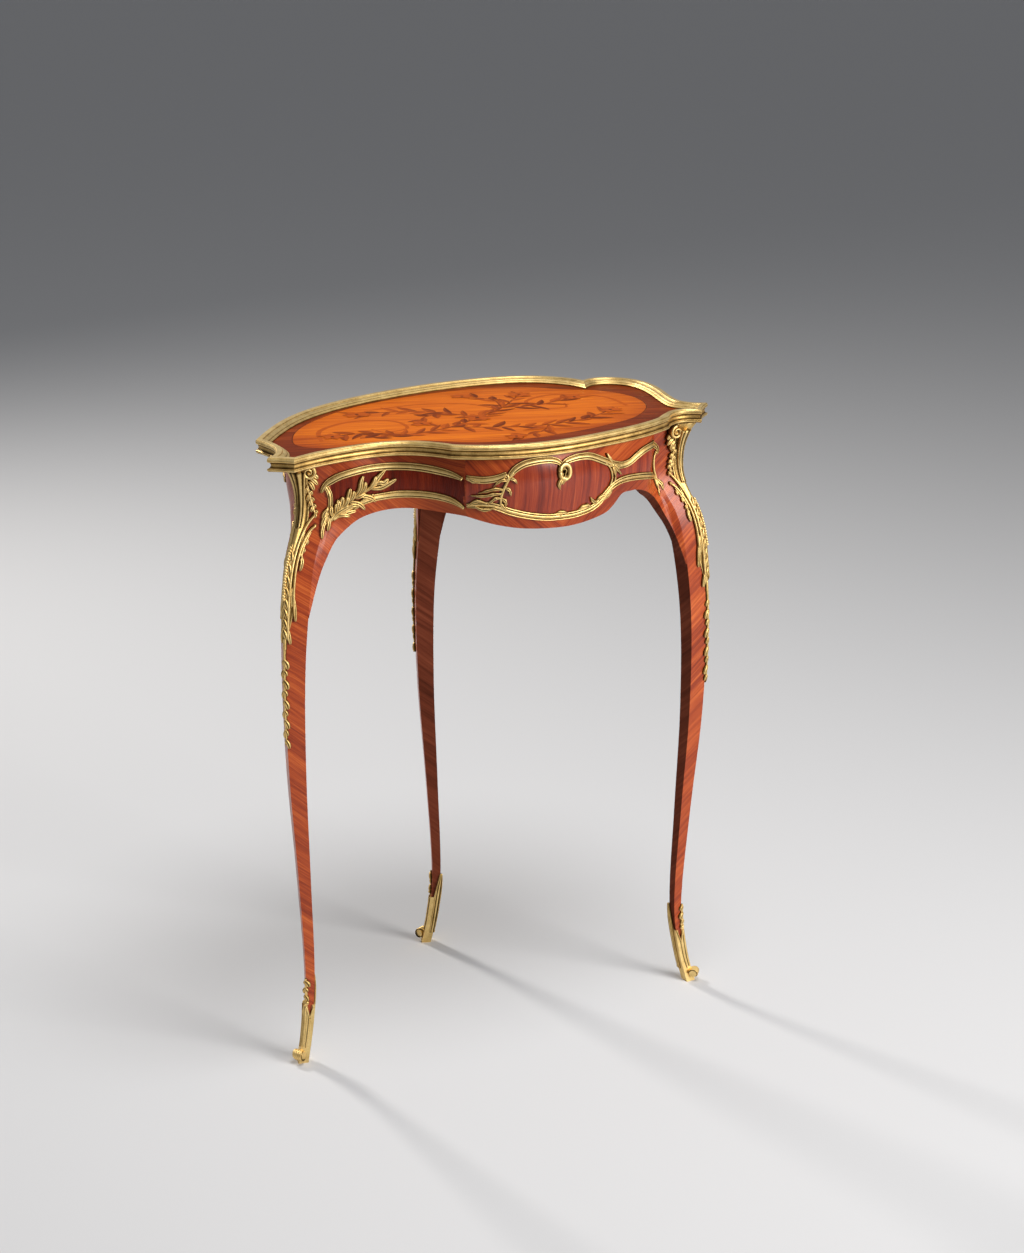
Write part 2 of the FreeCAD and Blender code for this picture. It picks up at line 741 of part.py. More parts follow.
def screw(place, direction, grow=0):
    """Countersunk screw whose head lies flush at its place; grow makes it a hole cutter."""
    shank = size("screw_radius") + grow
    head = size("screw_head_radius") + grow
    cone = Part.makeCone(head, shank, head - shank, place, direction)
    stem = Part.makeCylinder(shank, size("screw_length") + grow, place, direction)
    return cone.fuse(stem).removeSplitter()


def screw_group(places, direction, grow=0):
    return Part.makeCompound([screw(place, direction, grow) for place in places])


# Lid: board, veneers, the five rim castings and their pins.
top = Outline(TOP_EDGE)
rim_width = size("rim_width")
rim_profile = [(share * rim_width, LID_BOTTOM + rise * size("rim_height")) for share, rise in RIM_PROFILE]
RIM_RUNS = {
    "rim_front": ["scoop", "front"],
    "rim_right_ear": ["right_neck", "right_end"],
    "rim_right": ["right"],
    "rim_back": ["back"],
    "rim_left_ear": ["left_notch", "left_end"],
}
PIN_PLACES = [("scoop", 2), ("front", 1), ("front", 4), ("right", 5), ("back", 1), ("back", 5), ("back", 8),
              ("left_notch", 2)]
PIN_RISE = 0.14
PIN_SINK = 0.2


def rim_pin(name, number, grow=0):
    """Pin driven in at a numbered point of a run of the edge."""
    index = round(number)
    inward = top.inward[name][index]
    start = top.points[name][index] + inward * (PIN_SINK - grow) + UP * (LID_BOTTOM + PIN_RISE * size("rim_height"))
    return Part.makeCylinder(size("rim_pin_radius") + grow, size("rim_pin_length") + 2 * grow, start, inward)


rims = {label: top.moulding(names, rim_profile) for label, names in RIM_RUNS.items()}
board = top.prism(rim_width + size("seat_gap"), LID_BOTTOM, BOARD_TOP)
for name, index in PIN_PLACES:
    hole = rim_pin(name, index, size("seat_gap"))
    owner = next(label for label, names in RIM_RUNS.items() if name in names)
    rims[owner] = rims[owner].cut(hole)
    board = board.cut(hole)
keep("rim_pins", Part.makeCompound([rim_pin(name, index) for name, index in PIN_PLACES]))


def field_prism(grow, bottom, top):
    points = [plan(x, y) for x, y in FIELD_EDGE]
    curve = Part.BSplineCurve()
    curve.interpolate(Points=points, PeriodicFlag=True)
    rows = []
    for point in points:
        heading = curve.tangent(curve.parameter(point))[0]
        rows.append(point + left_of(heading).normalize() * grow + UP * bottom)
    curve.interpolate(Points=rows, PeriodicFlag=True)
    return Part.Face(Part.Wire(curve.toShape())).extrude(UP * (top - bottom))


veneer = top.prism(rim_width + size("seat_gap"), BOARD_TOP, PANEL_TOP)
keep("top_border_veneer", veneer.cut(field_prism(size("seat_gap"), BOARD_TOP - 1, PANEL_TOP + 1)))
keep("marquetry_field", field_prism(0, BOARD_TOP, PANEL_TOP))

# Hinges: knuckles under the back of the rim, leaves let into the lid and the back wall.
hinge_y = size("top_depth") / 2 - size("knuckle_radius")
lid_holes = []
lid_recesses = []
wall_recesses = []
lid_screws = []
case_screws = []
KNUCKLE_EDGE = "top_depth / 2 - 2 * knuckle_radius - knuckle_gap"
KNUCKLE_AXIS = "top_depth / 2 - knuckle_radius"
CASE_PLATE_BOTTOM = "table_height - rim_height - lid_gap - leaf_thickness"
LID_PLATE_BOTTOM = "table_height - rim_height"
SCREW_SPREAD = 9
LID_SCREW_BACK = 22
CASE_SCREW_BACK = 23
for side, sign in (("left", "-"), ("right", "+")):
    start = f"hinge_middle {sign} hinge_spacing / 2 - hinge_length / 2"
    third = "hinge_length / 3"
    half_gap = "knuckle_gap / 2"
    middle = size("hinge_middle") + float(sign + "1") * size("hinge_spacing") / 2
    lid_places = [Vector(middle + step, hinge_y - LID_SCREW_BACK, LID_BOTTOM) for step in (-SCREW_SPREAD, SCREW_SPREAD)]
    case_places = [Vector(middle + step, hinge_y - CASE_SCREW_BACK, CASE_TOP) for step in (-SCREW_SPREAD, SCREW_SPREAD)]
    lid_screws += lid_places
    case_screws += case_places
    # leaf on the lid: plate, neck and the middle knuckle
    lid_plate = block(f"lid_plate_{side}", (start, f"{KNUCKLE_AXIS} - lid_leaf_reach", LID_PLATE_BOTTOM), "hinge_length",
                      "lid_leaf_reach - knuckle_radius - knuckle_gap", "leaf_thickness")
    lid_neck = block(f"lid_neck_{side}", (f"{start} + {third} + {half_gap}", KNUCKLE_EDGE, LID_PLATE_BOTTOM),
                     f"{third} - knuckle_gap", "knuckle_radius + knuckle_gap", "leaf_thickness")
    lid_knuckle = rod(f"lid_knuckle_{side}", (f"{start} + {third} + {half_gap}", KNUCKLE_AXIS, LID_PLATE_BOTTOM),
                      "knuckle_radius", f"{third} - knuckle_gap", Vector(1, 0, 0))
    lid_bore = rod(f"lid_bore_{side}", (start, KNUCKLE_AXIS, LID_PLATE_BOTTOM), "hinge_pin_radius + pin_clearance",
                   "hinge_length", Vector(1, 0, 0))
    lid_sinks = doc.addObject("Part::Feature", f"lid_sinks_{side}")
    lid_sinks.Shape = screw_group(lid_places, UP, size("screw_gap"))
    lid_blank = fused(f"lid_leaf_blank_{side}", [lid_plate, lid_neck, lid_knuckle])
    lid_bored = without(f"lid_leaf_bored_{side}", lid_blank, lid_bore)
    name_node(without(f"lid_leaf_{side}", lid_bored, lid_sinks), f"hinge_leaf_lid_{side}")
    # leaf on the case: plate, two necks and the outer knuckles
    case_plate = block(f"case_plate_{side}", (start, f"{KNUCKLE_AXIS} - case_leaf_reach", CASE_PLATE_BOTTOM),
                       "hinge_length", "case_leaf_reach - knuckle_radius - knuckle_gap", "leaf_thickness")
    outer = [case_plate]
    for end, offset in (("first", ""), ("last", f" + 2 * {third} + {half_gap}")):
        outer.append(block(f"case_neck_{end}_{side}", (start + offset, KNUCKLE_EDGE, CASE_PLATE_BOTTOM),
                           f"{third} - {half_gap}", "knuckle_radius + knuckle_gap", "leaf_thickness"))
        outer.append(rod(f"case_knuckle_{end}_{side}", (start + offset, KNUCKLE_AXIS, LID_PLATE_BOTTOM),
                         "knuckle_radius", f"{third} - {half_gap}", Vector(1, 0, 0)))
    case_bore = rod(f"case_bore_{side}", (start, KNUCKLE_AXIS, LID_PLATE_BOTTOM), "hinge_pin_radius + screw_gap",
                    "hinge_length", Vector(1, 0, 0))
    case_sinks = doc.addObject("Part::Feature", f"case_sinks_{side}")
    case_sinks.Shape = screw_group(case_places, -UP, size("screw_gap"))
    case_blank = fused(f"case_leaf_blank_{side}", outer)
    case_bored = without(f"case_leaf_bored_{side}", case_blank, case_bore)
    name_node(without(f"case_leaf_{side}", case_bored, case_sinks), f"hinge_leaf_case_{side}")
    name_node(rod(f"pin_{side}", (start, KNUCKLE_AXIS, LID_PLATE_BOTTOM), "hinge_pin_radius", "hinge_length",
                  Vector(1, 0, 0)), f"hinge_pin_{side}")
    # room for both leaves and for the knuckles
    gap = size("seat_gap")
    play = size("knuckle_gap")
    left_end = middle - size("hinge_length") / 2
    notch = size("knuckle_radius") + play + gap
    lid_recesses.append(Part.makeBox(size("hinge_length") + 2 * gap, size("lid_leaf_reach") + gap,
                                     size("leaf_thickness") + gap,
                                     Vector(left_end - gap, hinge_y - size("lid_leaf_reach") - gap, LID_BOTTOM)))
    lid_recesses.append(Part.makeBox(size("hinge_length") + 2 * play, 4 * notch, notch,
                                     Vector(left_end - play, hinge_y - notch, LID_BOTTOM)))
    wall_recesses.append(Part.makeBox(size("hinge_length") + 2 * gap, size("case_leaf_reach") + gap,
                                      size("leaf_thickness") + 2 * gap,
                                      Vector(left_end - gap, hinge_y - size("case_leaf_reach") - gap,
                                             CASE_TOP - size("leaf_thickness") - gap)))

# Lock: case let into the front wall, sliding bolt, and the link plate with its staple under the lid.
LOCK_LEFT = "lock_middle - lock_width / 2"
LOCK_FRONT = "lock_set - lock_depth / 2"
LOCK_TOP = "table_height - rim_height - lid_gap"
BOLT_BOTTOM = "table_height - rim_height - staple_drop + staple_foot + bolt_clearance * 2"
STAPLE_LEFT = "lock_middle + staple_offset"
BOLT_LEFT = "lock_middle + staple_offset - bolt_lead - bolt_width"
KEY_HEIGHT = "table_height - rim_height - lid_gap - keyhole_drop"
lock_body = block("lock_body", (LOCK_LEFT, LOCK_FRONT, f"{LOCK_TOP} - lock_height"), "lock_width", "lock_depth",
                  "lock_height")
bolt_way = block("bolt_way", (f"{LOCK_LEFT} - 1", "lock_set - bolt_depth / 2 - bolt_clearance",
                              f"{BOLT_BOTTOM} - bolt_clearance"),
                 f"{BOLT_LEFT} + bolt_width + bolt_throw + 1 - ({LOCK_LEFT} - 1)", "bolt_depth + 2 * bolt_clearance",
                 "bolt_height + 2 * bolt_clearance")
staple_way = block("staple_way", (f"{STAPLE_LEFT} - staple_room", "lock_set - staple_depth / 2 - staple_room",
                                  "table_height - rim_height - staple_drop - staple_room"),
                   "staple_width + 2 * staple_room", "staple_depth + 2 * staple_room", "staple_drop + 2 * staple_room")
key_way = rod("key_way", ("lock_middle", f"{LOCK_FRONT} - 1", KEY_HEIGHT), "keyhole_radius", "lock_depth * 0.75",
              Vector(0, 1, 0))
bit_way = block("bit_way", ("lock_middle - keyhole_slot / 2", "lock_set - bolt_depth / 2", KEY_HEIGHT), "keyhole_slot",
                "bolt_depth", f"{BOLT_BOTTOM} - ({KEY_HEIGHT})")
ways = fused("lock_ways", [bolt_way, staple_way, key_way, bit_way])
lock_bored = without("lock_bored", lock_body, ways)
LOCK_SCREW_SPREAD = 17
LOCK_SCREW_DROP = 24
lock_middle = size("lock_middle")
lock_back = size("lock_set") + size("lock_depth") / 2
lock_places = [Vector(lock_middle + step, lock_back, CASE_TOP - LOCK_SCREW_DROP)
               for step in (-LOCK_SCREW_SPREAD, LOCK_SCREW_SPREAD)]


def lock_screw(place, grow=0):
    """Long screw through the lock's case into the front wall."""
    shank = size("screw_radius") + grow
    head = size("screw_head_radius") + grow
    forward = Vector(0, -1, 0)
    cone = Part.makeCone(head, shank, head - shank, place, forward)
    return cone.fuse(Part.makeCylinder(shank, size("lock_screw_length") + grow, place, forward)).removeSplitter()


lock_sinks = doc.addObject("Part::Feature", "lock_sinks")
lock_sinks.Shape = Part.makeCompound([lock_screw(place, size("screw_gap")) for place in lock_places])
name_node(without("lock", lock_bored, lock_sinks), "lock_case")
keep("lock_screws", Part.makeCompound([lock_screw(place) for place in lock_places]))
name_node(block("bolt", (BOLT_LEFT, "lock_set - bolt_depth / 2", BOLT_BOTTOM), "bolt_width", "bolt_depth",
                "bolt_height"), "lock_bolt")
staple_blank = block("staple_blank", (STAPLE_LEFT, "lock_set - staple_depth / 2",
                                      "table_height - rim_height - staple_drop"),
                     "staple_width", "staple_depth", "staple_drop")
staple_window = block("staple_window", (f"{STAPLE_LEFT} - 1", "lock_set - bolt_depth / 2 - 2 * bolt_clearance",
                                        f"{BOLT_BOTTOM} - 2 * bolt_clearance"),
                      "staple_width + 2", "bolt_depth + 4 * bolt_clearance", "bolt_height + 4 * bolt_clearance")
name_node(without("staple", staple_blank, staple_window), "lock_staple")
link_blank = block("link_blank", (f"{STAPLE_LEFT} + staple_width / 2 - link_plate_width / 2",
                                  "lock_set - link_plate_depth / 2", LID_PLATE_BOTTOM),
                   "link_plate_width", "link_plate_depth", "link_plate_thickness")
LINK_SCREW_SPREAD = 12
staple_middle = lock_middle + size("staple_offset") + size("staple_width") / 2
link_places = [Vector(staple_middle + step, size("lock_set"), LID_BOTTOM)
               for step in (-LINK_SCREW_SPREAD, LINK_SCREW_SPREAD)]
link_sinks = doc.addObject("Part::Feature", "link_sinks")
link_sinks.Shape = screw_group(link_places, UP, size("screw_gap"))
name_node(without("link", link_blank, link_sinks), "link_plate")
keep("link_plate_screws", screw_group(link_places, UP))
keep("lid_hinge_screws", screw_group(lid_screws, UP))
keep("case_hinge_screws", screw_group(case_screws, -UP))
gap = size("seat_gap")
lid_recesses.append(Part.makeBox(size("link_plate_width") + 2 * gap, size("link_plate_depth") + 2 * gap,
                                 size("link_plate_thickness") + gap,
                                 Vector(staple_middle - size("link_plate_width") / 2 - gap,
                                        size("lock_set") - size("link_plate_depth") / 2 - gap, LID_BOTTOM)))
lid_cutters = lid_recesses + screw_group(lid_screws + link_places, UP, size("screw_gap")).Solids
for cutter in lid_cutters:
    board = board.cut(cutter)
for cutter in lid_recesses:
    rims["rim_back"] = rims["rim_back"].cut(cutter)
keep("lid_board", board)
for label, shape in rims.items():
    keep(label, shape)


def keyhole(grow, start, end):
    """Keyhole shape run through in depth: a round head and a slot falling from it."""
    middle = Vector(lock_middle, start, CASE_TOP - size("keyhole_drop"))
    length = end - start
    head = Part.makeCylinder(size("keyhole_radius") + grow, length, middle, Vector(0, 1, 0))
    half = size("keyhole_slot") / 2 + grow
    fall = size("keyhole_fall") + grow
    slot = Part.makeBox(2 * half, length, fall, middle - Vector(half, 0, fall))
    return head.fuse(slot).removeSplitter()


# Case: legs, walls, bottom and the strips that carry it.
leg_solids = {}
for side, leg in LEGS.items():
    leg_solids[side] = leg.solid()
    keep(f"leg_{side}", leg_solids[side])
    keep(f"sabot_{side}", leg.sabot(leg_solids[side]))

front_face = size("lock_set") - size("lock_depth") / 2
LINER_PROUD = 1.5
KEYHOLE_LEAD = 20
LOCK_POCKET = 40
front = WALLS["apron_front"]
keyhole_at = min(range(round(front.length)), key=lambda distance: abs(front.point(distance, 0, 0).x - lock_middle))
wall_front = front.point(keyhole_at, size("keyhole_drop"), LINER_PROUD).y
front_cutters = [
    keyhole(size("liner_wall") + gap, wall_front - KEYHOLE_LEAD, front_face + 1),
    Part.makeBox(size("lock_width") + 2 * gap, size("lock_depth") + LOCK_POCKET, size("lock_height") + LOCK_POCKET,
                 Vector(lock_middle - size("lock_width") / 2 - gap, front_face - gap,
                        CASE_TOP - size("lock_height") - gap)),
]
front_cutters += [lock_screw(place, size("screw_gap")) for place in lock_places]
liner = keyhole(size("liner_wall"), wall_front, front_face - gap)
keep("keyhole_liner", liner.cut(keyhole(0, wall_front - 1, front_face + 1)))
back_cutters = wall_recesses + screw_group(case_screws, -UP, size("screw_gap")).Solids
wall_cutters = {"apron_front": front_cutters, "apron_back": back_cutters}
wall_solids = {}
for label, wall in WALLS.items():
    shape = wall.solid()
    for cutter in wall_cutters.get(label, []):
        shape = shape.cut(cutter)
    wall_solids[label] = shape
    keep(label, shape)

CRESTS = {"left": size("chute_crest"), "right": size("chute_crest"), "back": size("back_chute_crest")}
for side, leg in LEGS.items():
    shape = leg.chute(CRESTS[side]).cut(leg_solids[side])
    if side == "back":
        shape = shape.cut(wall_solids["apron_left"])
    keep(f"chute_{side}", max(shape.Solids, key=lambda solid: solid.Volume))


def inner_run(wall, inset, drop):
    """Points along a wall's inner face, moved in by an inset."""
    out = -size("wall_thickness") - inset
    return [wall.point(distance, drop, out, False) for distance, fall in wall.columns()]


bottom_drop = size("well_depth") + size("bottom_thickness")
runs = [inner_run(wall, size("bottom_gap"), bottom_drop) for wall in WALLS.values()]
edges = []
for index, run in enumerate(runs):
    edges.append(spline(run).toShape())
    after = runs[(index + 1) % len(runs)][0]
    if run[-1].distanceToPoint(after) > 0.01:
        edges.append(Part.makeLine(run[-1], after))
bottom = Part.Face(Part.Wire(Part.__sortEdges__(edges))).extrude(UP * size("bottom_thickness"))
for leg in LEGS.values():
    post = leg.heights(CASE_TOP - 2 * bottom_drop, CASE_TOP, 6)
    bottom = bottom.cut(leg.loft(post, lambda height: leg.square(height, size("bottom_gap"))))
keep("bottom_board", max(bottom.Solids, key=lambda solid: solid.Volume))

LEDGER_START = 0.15
LEDGER_END = 0.85
for label, wall in WALLS.items():
    rows = []
    for inset, drop in ((0, 0), (1, 0), (1, 1), (0, 1)):
        out = -size("wall_thickness") - size("bottom_gap") - inset * size("ledger_size")
        fall = bottom_drop + size("seat_gap") + drop * size("ledger_size")
        stops = [LEDGER_START + (LEDGER_END - LEDGER_START) * index / 6 for index in range(7)]
        rows.append([wall.point(stop * wall.length, fall, out, False) for stop in stops])
    curves = [spline(row).toShape() for row in rows]
    faces = [Part.makeRuledSurface(curve, curves[index - 1]) for index, curve in enumerate(curves)]
    for end in (0, -1):
        corners = [row[end] for row in rows]
        faces.append(Part.Face(Part.makePolygon(corners + corners[:1])))
    keep(label.replace("apron", "ledger"), closed_solid(faces))

# Mounts on the outer faces.
mount_width = size("frame_width")
mount_height = size("frame_height")
scoop = WALLS["apron_scoop"]


def band(wall, stations, height=mount_height, closed=False):
    """Mount whose stations move out with a wall longer than the one drawn."""
    moved = [(distance * wall.stretch, drop, share) for distance, drop, share in stations]
    return Mount(wall, moved, mount_width, height, closed).solid()


keep("scoop_frame_top", band(scoop, SCOOP_TOP))
keep("scoop_frame_bottom", band(scoop, SCOOP_BOTTOM))
keep("scoop_spray", band(scoop, SCOOP_SPRAY))
keep("cartouche_upper_left", band(front, UPPER_LEFT))
keep("cartouche_upper_right", band(front, UPPER_RIGHT))
keep("cartouche_lower", band(front, LOWER_BAND))
keep("cartouche_side_left", band(front, OVAL_LEFT))
keep("cartouche_side_right", band(front, OVAL_RIGHT))
loop = [(keyhole_at + step, drop, share) for step, drop, share in KEYHOLE_LOOP]
keep("keyhole_loop", Mount(front, loop, mount_width, mount_height, closed=True).solid())
keep("cartouche_leaves", Part.makeCompound([band(front, leaf, mount_height * 0.7) for leaf in LEAVES.values()]))
for label, stations in OVALS.items():
    keep(label.replace("apron", "frame"), band(WALLS[label], stations, closed=True))

doc.recompute()
for item in doc.Objects:
    if "Invalid" in item.State or "Error" in item.State:
        raise RuntimeError(f"{item.Label} did not recompute: {item.State}")
for label, item in nodes.items():
    if item.Shape.isNull() or not item.Shape.isValid():
        raise RuntimeError(f"{label} has no sound shape")

os.makedirs("parts", exist_ok=True)
for label, item in nodes.items():
    item.Shape.exportStep(f"parts/{label}.step")
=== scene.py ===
import bisect
import itertools
import math
import random

import bpy
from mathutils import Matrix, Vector
from mathutils.bvhtree import BVHTree


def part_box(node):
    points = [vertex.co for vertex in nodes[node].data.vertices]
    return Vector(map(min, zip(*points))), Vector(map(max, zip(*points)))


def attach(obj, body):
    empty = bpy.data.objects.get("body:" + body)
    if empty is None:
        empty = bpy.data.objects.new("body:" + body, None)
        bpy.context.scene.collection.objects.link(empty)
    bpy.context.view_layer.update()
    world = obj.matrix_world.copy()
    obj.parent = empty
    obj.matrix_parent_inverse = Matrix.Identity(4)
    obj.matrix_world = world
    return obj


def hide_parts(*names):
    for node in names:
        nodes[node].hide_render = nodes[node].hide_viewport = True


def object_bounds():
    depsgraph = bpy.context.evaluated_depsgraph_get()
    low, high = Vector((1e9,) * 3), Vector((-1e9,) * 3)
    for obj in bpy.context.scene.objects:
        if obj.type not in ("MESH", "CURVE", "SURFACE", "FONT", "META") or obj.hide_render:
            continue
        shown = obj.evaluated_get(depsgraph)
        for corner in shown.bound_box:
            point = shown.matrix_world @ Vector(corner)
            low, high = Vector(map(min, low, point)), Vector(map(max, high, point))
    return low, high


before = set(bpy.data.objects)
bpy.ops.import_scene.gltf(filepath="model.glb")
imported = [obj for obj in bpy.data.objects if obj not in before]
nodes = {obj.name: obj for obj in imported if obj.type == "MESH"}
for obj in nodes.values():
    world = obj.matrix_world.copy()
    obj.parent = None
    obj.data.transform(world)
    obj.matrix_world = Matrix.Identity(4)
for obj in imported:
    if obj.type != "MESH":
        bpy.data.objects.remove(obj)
cad_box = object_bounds()
MM = 0.001
UP = Vector((0, 0, 1))

# Camera and stage.
CAMERA_PLACE = (-1.1095, -2.5407, 1.380)
CAMERA_HEADING = (0.418, 0.908)
CAMERA_PITCH = math.radians(17.9)
LENS, SENSOR_WIDTH, SIGHT = 68.95, 36, 100
# Strength of the surroundings as they light, as the camera sees them and as the table mirrors them.
LIT_WORLD, SEEN_WORLD, MIRRORED_WORLD = 0.17, 0.125, 0.34
WORLD_COLOUR = (0.94, 0.96, 1, 1)
FLOOR_COLOUR = (0.67, 0.67, 0.68, 1)
FLOOR_HALF, FLOOR_ROUGHNESS, FLOOR_SHINE = 30, 0.75, 0.2
# Place, aim, size, watts and colour of each lamp.
LAMPS = {
    "key": ((-0.75, 2.6, 2.3), (0, 0, 0.4), 0.45, 55, (1, 0.97, 0.93)),
    "front": ((1.9, -2.8, 1.6), (0, 0, 0.6), 1.6, 104, (1, 0.98, 0.95)),
    "over": ((0.2, -0.6, 2.6), (0, 0, 0.7), 1.0, 30, (1, 1, 1))}


def add_camera():
    data = bpy.data.cameras.new("camera")
    data.lens = LENS
    data.sensor_width = SENSOR_WIDTH
    data.clip_end = SIGHT
    camera = bpy.data.objects.new("camera", data)
    bpy.context.scene.collection.objects.link(camera)
    level = Vector((*CAMERA_HEADING, 0)).normalized()
    look = level * math.cos(CAMERA_PITCH) - UP * math.sin(CAMERA_PITCH)
    camera.location = CAMERA_PLACE
    camera.rotation_mode = "QUATERNION"
    camera.rotation_quaternion = look.to_track_quat("-Z", "Y")
    bpy.context.scene.camera = camera


def add_lamp(name, place, aim, size, energy, colour):
    data = bpy.data.lights.new(name, "AREA")
    data.shape = "DISK"
    data.size = size
    data.energy = energy
    data.color = colour
    lamp = bpy.data.objects.new(name, data)
    bpy.context.scene.collection.objects.link(lamp)
    lamp.location = place
    lamp.rotation_mode = "QUATERNION"
    lamp.rotation_quaternion = (Vector(aim) - Vector(place)).to_track_quat("-Z", "Y")


def node(tree, kind, inputs=None, **settings):
    """Add a node; inputs are keyed by name or index and take a value or a socket."""
    made = tree.nodes.new(kind)
    for name, value in settings.items():
        setattr(made, name, value)
    for name, value in (inputs or {}).items():
        if isinstance(value, bpy.types.NodeSocket):
            tree.links.new(value, made.inputs[name])
        else:
            made.inputs[name].default_value = value
    return made


def feed(tree, target, sockets):
    """Link sockets to the named inputs of a node."""
    for name, socket in sockets.items():
        tree.links.new(socket, target.inputs[name])


def math_node(tree, operation, first, second=0.0, third=0.0):
    inputs = {0: first, 1: second, 2: third}
    return node(tree, "ShaderNodeMath", inputs, operation=operation).outputs[0]


def dot_node(tree, first, second):
    return node(tree, "ShaderNodeVectorMath", {0: first, 1: second}, operation="DOT_PRODUCT").outputs["Value"]


def noise_node(tree, vector, scale, detail, roughness=0.5):
    inputs = {"Vector": vector, "Scale": scale, "Detail": detail, "Roughness": roughness}
    return node(tree, "ShaderNodeTexNoise", inputs).outputs[0]


def ramp(tree, value, stops):
    made = node(tree, "ShaderNodeValToRGB", {0: value})
    elements = made.color_ramp.elements
    for index, (place, colour) in enumerate(stops):
        element = elements[index] if index < 2 else elements.new(place)
        element.position = place
        element.color = (*colour, 1)
    return made.outputs[0]


def grey(value):
    return (value, value, value)


def mix(tree, share, first, second):
    inputs = {"Factor": share, "A": first, "B": second}
    made = node(tree, "ShaderNodeMix", data_type="RGBA")
    for name, value in inputs.items():
        socket = next(item for item in made.inputs if item.name == name and item.enabled)
        tree.links.new(value, socket)
    return next(item for item in made.outputs if item.enabled)


def new_group(name, kind, inputs, outputs):
    """Empty node group; gives its tree, its input node's sockets and its output node."""
    tree = bpy.data.node_groups.new(name, kind + "NodeTree")
    for in_out, sockets in (("INPUT", inputs), ("OUTPUT", outputs)):
        for label, holds in sockets.items():
            tree.interface.new_socket(label, in_out=in_out, socket_type="NodeSocket" + holds)
    return tree, tree.nodes.new("NodeGroupInput").outputs, tree.nodes.new("NodeGroupOutput")


def new_material(name):
    material = bpy.data.materials.new(name)
    material.use_nodes = True
    tree = material.node_tree
    shader = tree.nodes["Principled BSDF"]
    return material, tree, shader


def add_floor():
    half = FLOOR_HALF
    mesh = bpy.data.meshes.new("floor")
    corners = [(-half, -half, 0), (half, -half, 0), (half, half, 0), (-half, half, 0)]
    mesh.from_pydata(corners, [], [(0, 1, 2, 3)])
    floor = bpy.data.objects.new("floor", mesh)
    bpy.context.scene.collection.objects.link(floor)
    material, tree, shader = new_material("floor")
    shader.inputs["Base Color"].default_value = FLOOR_COLOUR
    shader.inputs["Roughness"].default_value = FLOOR_ROUGHNESS
    shader.inputs["Specular IOR Level"].default_value = FLOOR_SHINE
    mesh.materials.append(material)


def add_world():
    world = bpy.data.worlds.new("studio")
    bpy.context.scene.world = world
    world.use_nodes = True
    tree = world.node_tree
    background = tree.nodes["Background"]
    background.inputs["Color"].default_value = WORLD_COLOUR
    path = tree.nodes.new("ShaderNodeLightPath").outputs
    strength = math_node(tree, "MULTIPLY_ADD", path["Is Camera Ray"], SEEN_WORLD - LIT_WORLD, LIT_WORLD)
    strength = math_node(tree, "MULTIPLY_ADD", path["Is Glossy Ray"], MIRRORED_WORLD - LIT_WORLD, strength)
    feed(tree, background, {"Strength": strength})


add_camera()
add_floor()
add_world()
for name, lamp in LAMPS.items():
    add_lamp(name, *lamp)
bpy.context.scene.view_settings.view_transform = "Standard"

# Gilding from the deepest hollows to the crests; how much painted shade darkens a hollow, and how much it is
# dulled.
GILDING = [
    (0.06, (0.035, 0.019, 0.006)), (0.24, (0.22, 0.125, 0.035)), (0.42, (0.66, 0.43, 0.145)),
    (0.58, (0.94, 0.7, 0.3))]
HOLLOW_SHADE, HOLLOW_ROUGHNESS = 0.56, 0.25


def make_bronze_group():
    """Gilding darkened to brown in the hollows by painted shade: mottled colour, uneven gloss and a chased
    surface.
    """
    tree, given, out = new_group(
        "gilding", "Shader", {"Recess": "Float"},
        {"Colour": "Color", "Roughness": "Float", "Normal": "Vector"})
    place = node(tree, "ShaderNodeTexCoord").outputs["Object"]
    mottle = noise_node(tree, place, 90.0, 6.0)
    speck = noise_node(tree, place, 700.0, 4.0)
    tone = math_node(tree, "MULTIPLY_ADD", mottle, 0.3, math_node(tree, "MULTIPLY_ADD", speck, 0.2, 0.27))
    # Painted shade: the hollows are darkened by their depth.
    tone = math_node(tree, "SUBTRACT", tone, math_node(tree, "MULTIPLY", given["Recess"], HOLLOW_SHADE))
    rough = math_node(tree, "MULTIPLY_ADD", speck, 0.22, 0.32)
    rough = math_node(tree, "MULTIPLY_ADD", given["Recess"], HOLLOW_ROUGHNESS, rough)
    bump = node(tree, "ShaderNodeBump", {"Height": speck, "Strength": 0.25, "Distance": 0.0006})
    feed(tree, out, {"Colour": ramp(tree, tone, GILDING), "Roughness": rough, "Normal": bump.outputs[0]})
    return tree


bronze_group = make_bronze_group()


def bronze(name, recess=None):
    """Gilt bronze; recess is a function that gives the depth of the hollows as a socket, darkened as painted
    shade.
    """
    material, tree, shader = new_material(name)
    gilding = node(tree, "ShaderNodeGroup")
    gilding.node_tree = bronze_group
    if recess:
        feed(tree, gilding, {"Recess": recess(tree)})
    colour, rough, normal = gilding.outputs
    feed(tree, shader, {"Base Color": colour, "Roughness": rough, "Normal": normal})
    shader.inputs["Metallic"].default_value = 1.0
    return material


LID_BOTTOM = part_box("lid_board")[0].z
RIM_TOP = cad_box[1].z
# Painted shade of the cove and of fine grooves on the rim: share of its height and darkness.
RIM_SHADE_LINES = [
    (0, 0.65), (0.06, 0.05), (0.13, 0), (0.16, 0.58), (0.2, 0.05), (0.26, 0.72), (0.4, 0.2), (0.5, 0.25),
    (0.6, 0.76), (0.66, 0.08), (0.72, 0.05), (0.76, 0.5), (0.79, 0), (0.9, 0), (0.94, 0.45), (0.97, 0)]


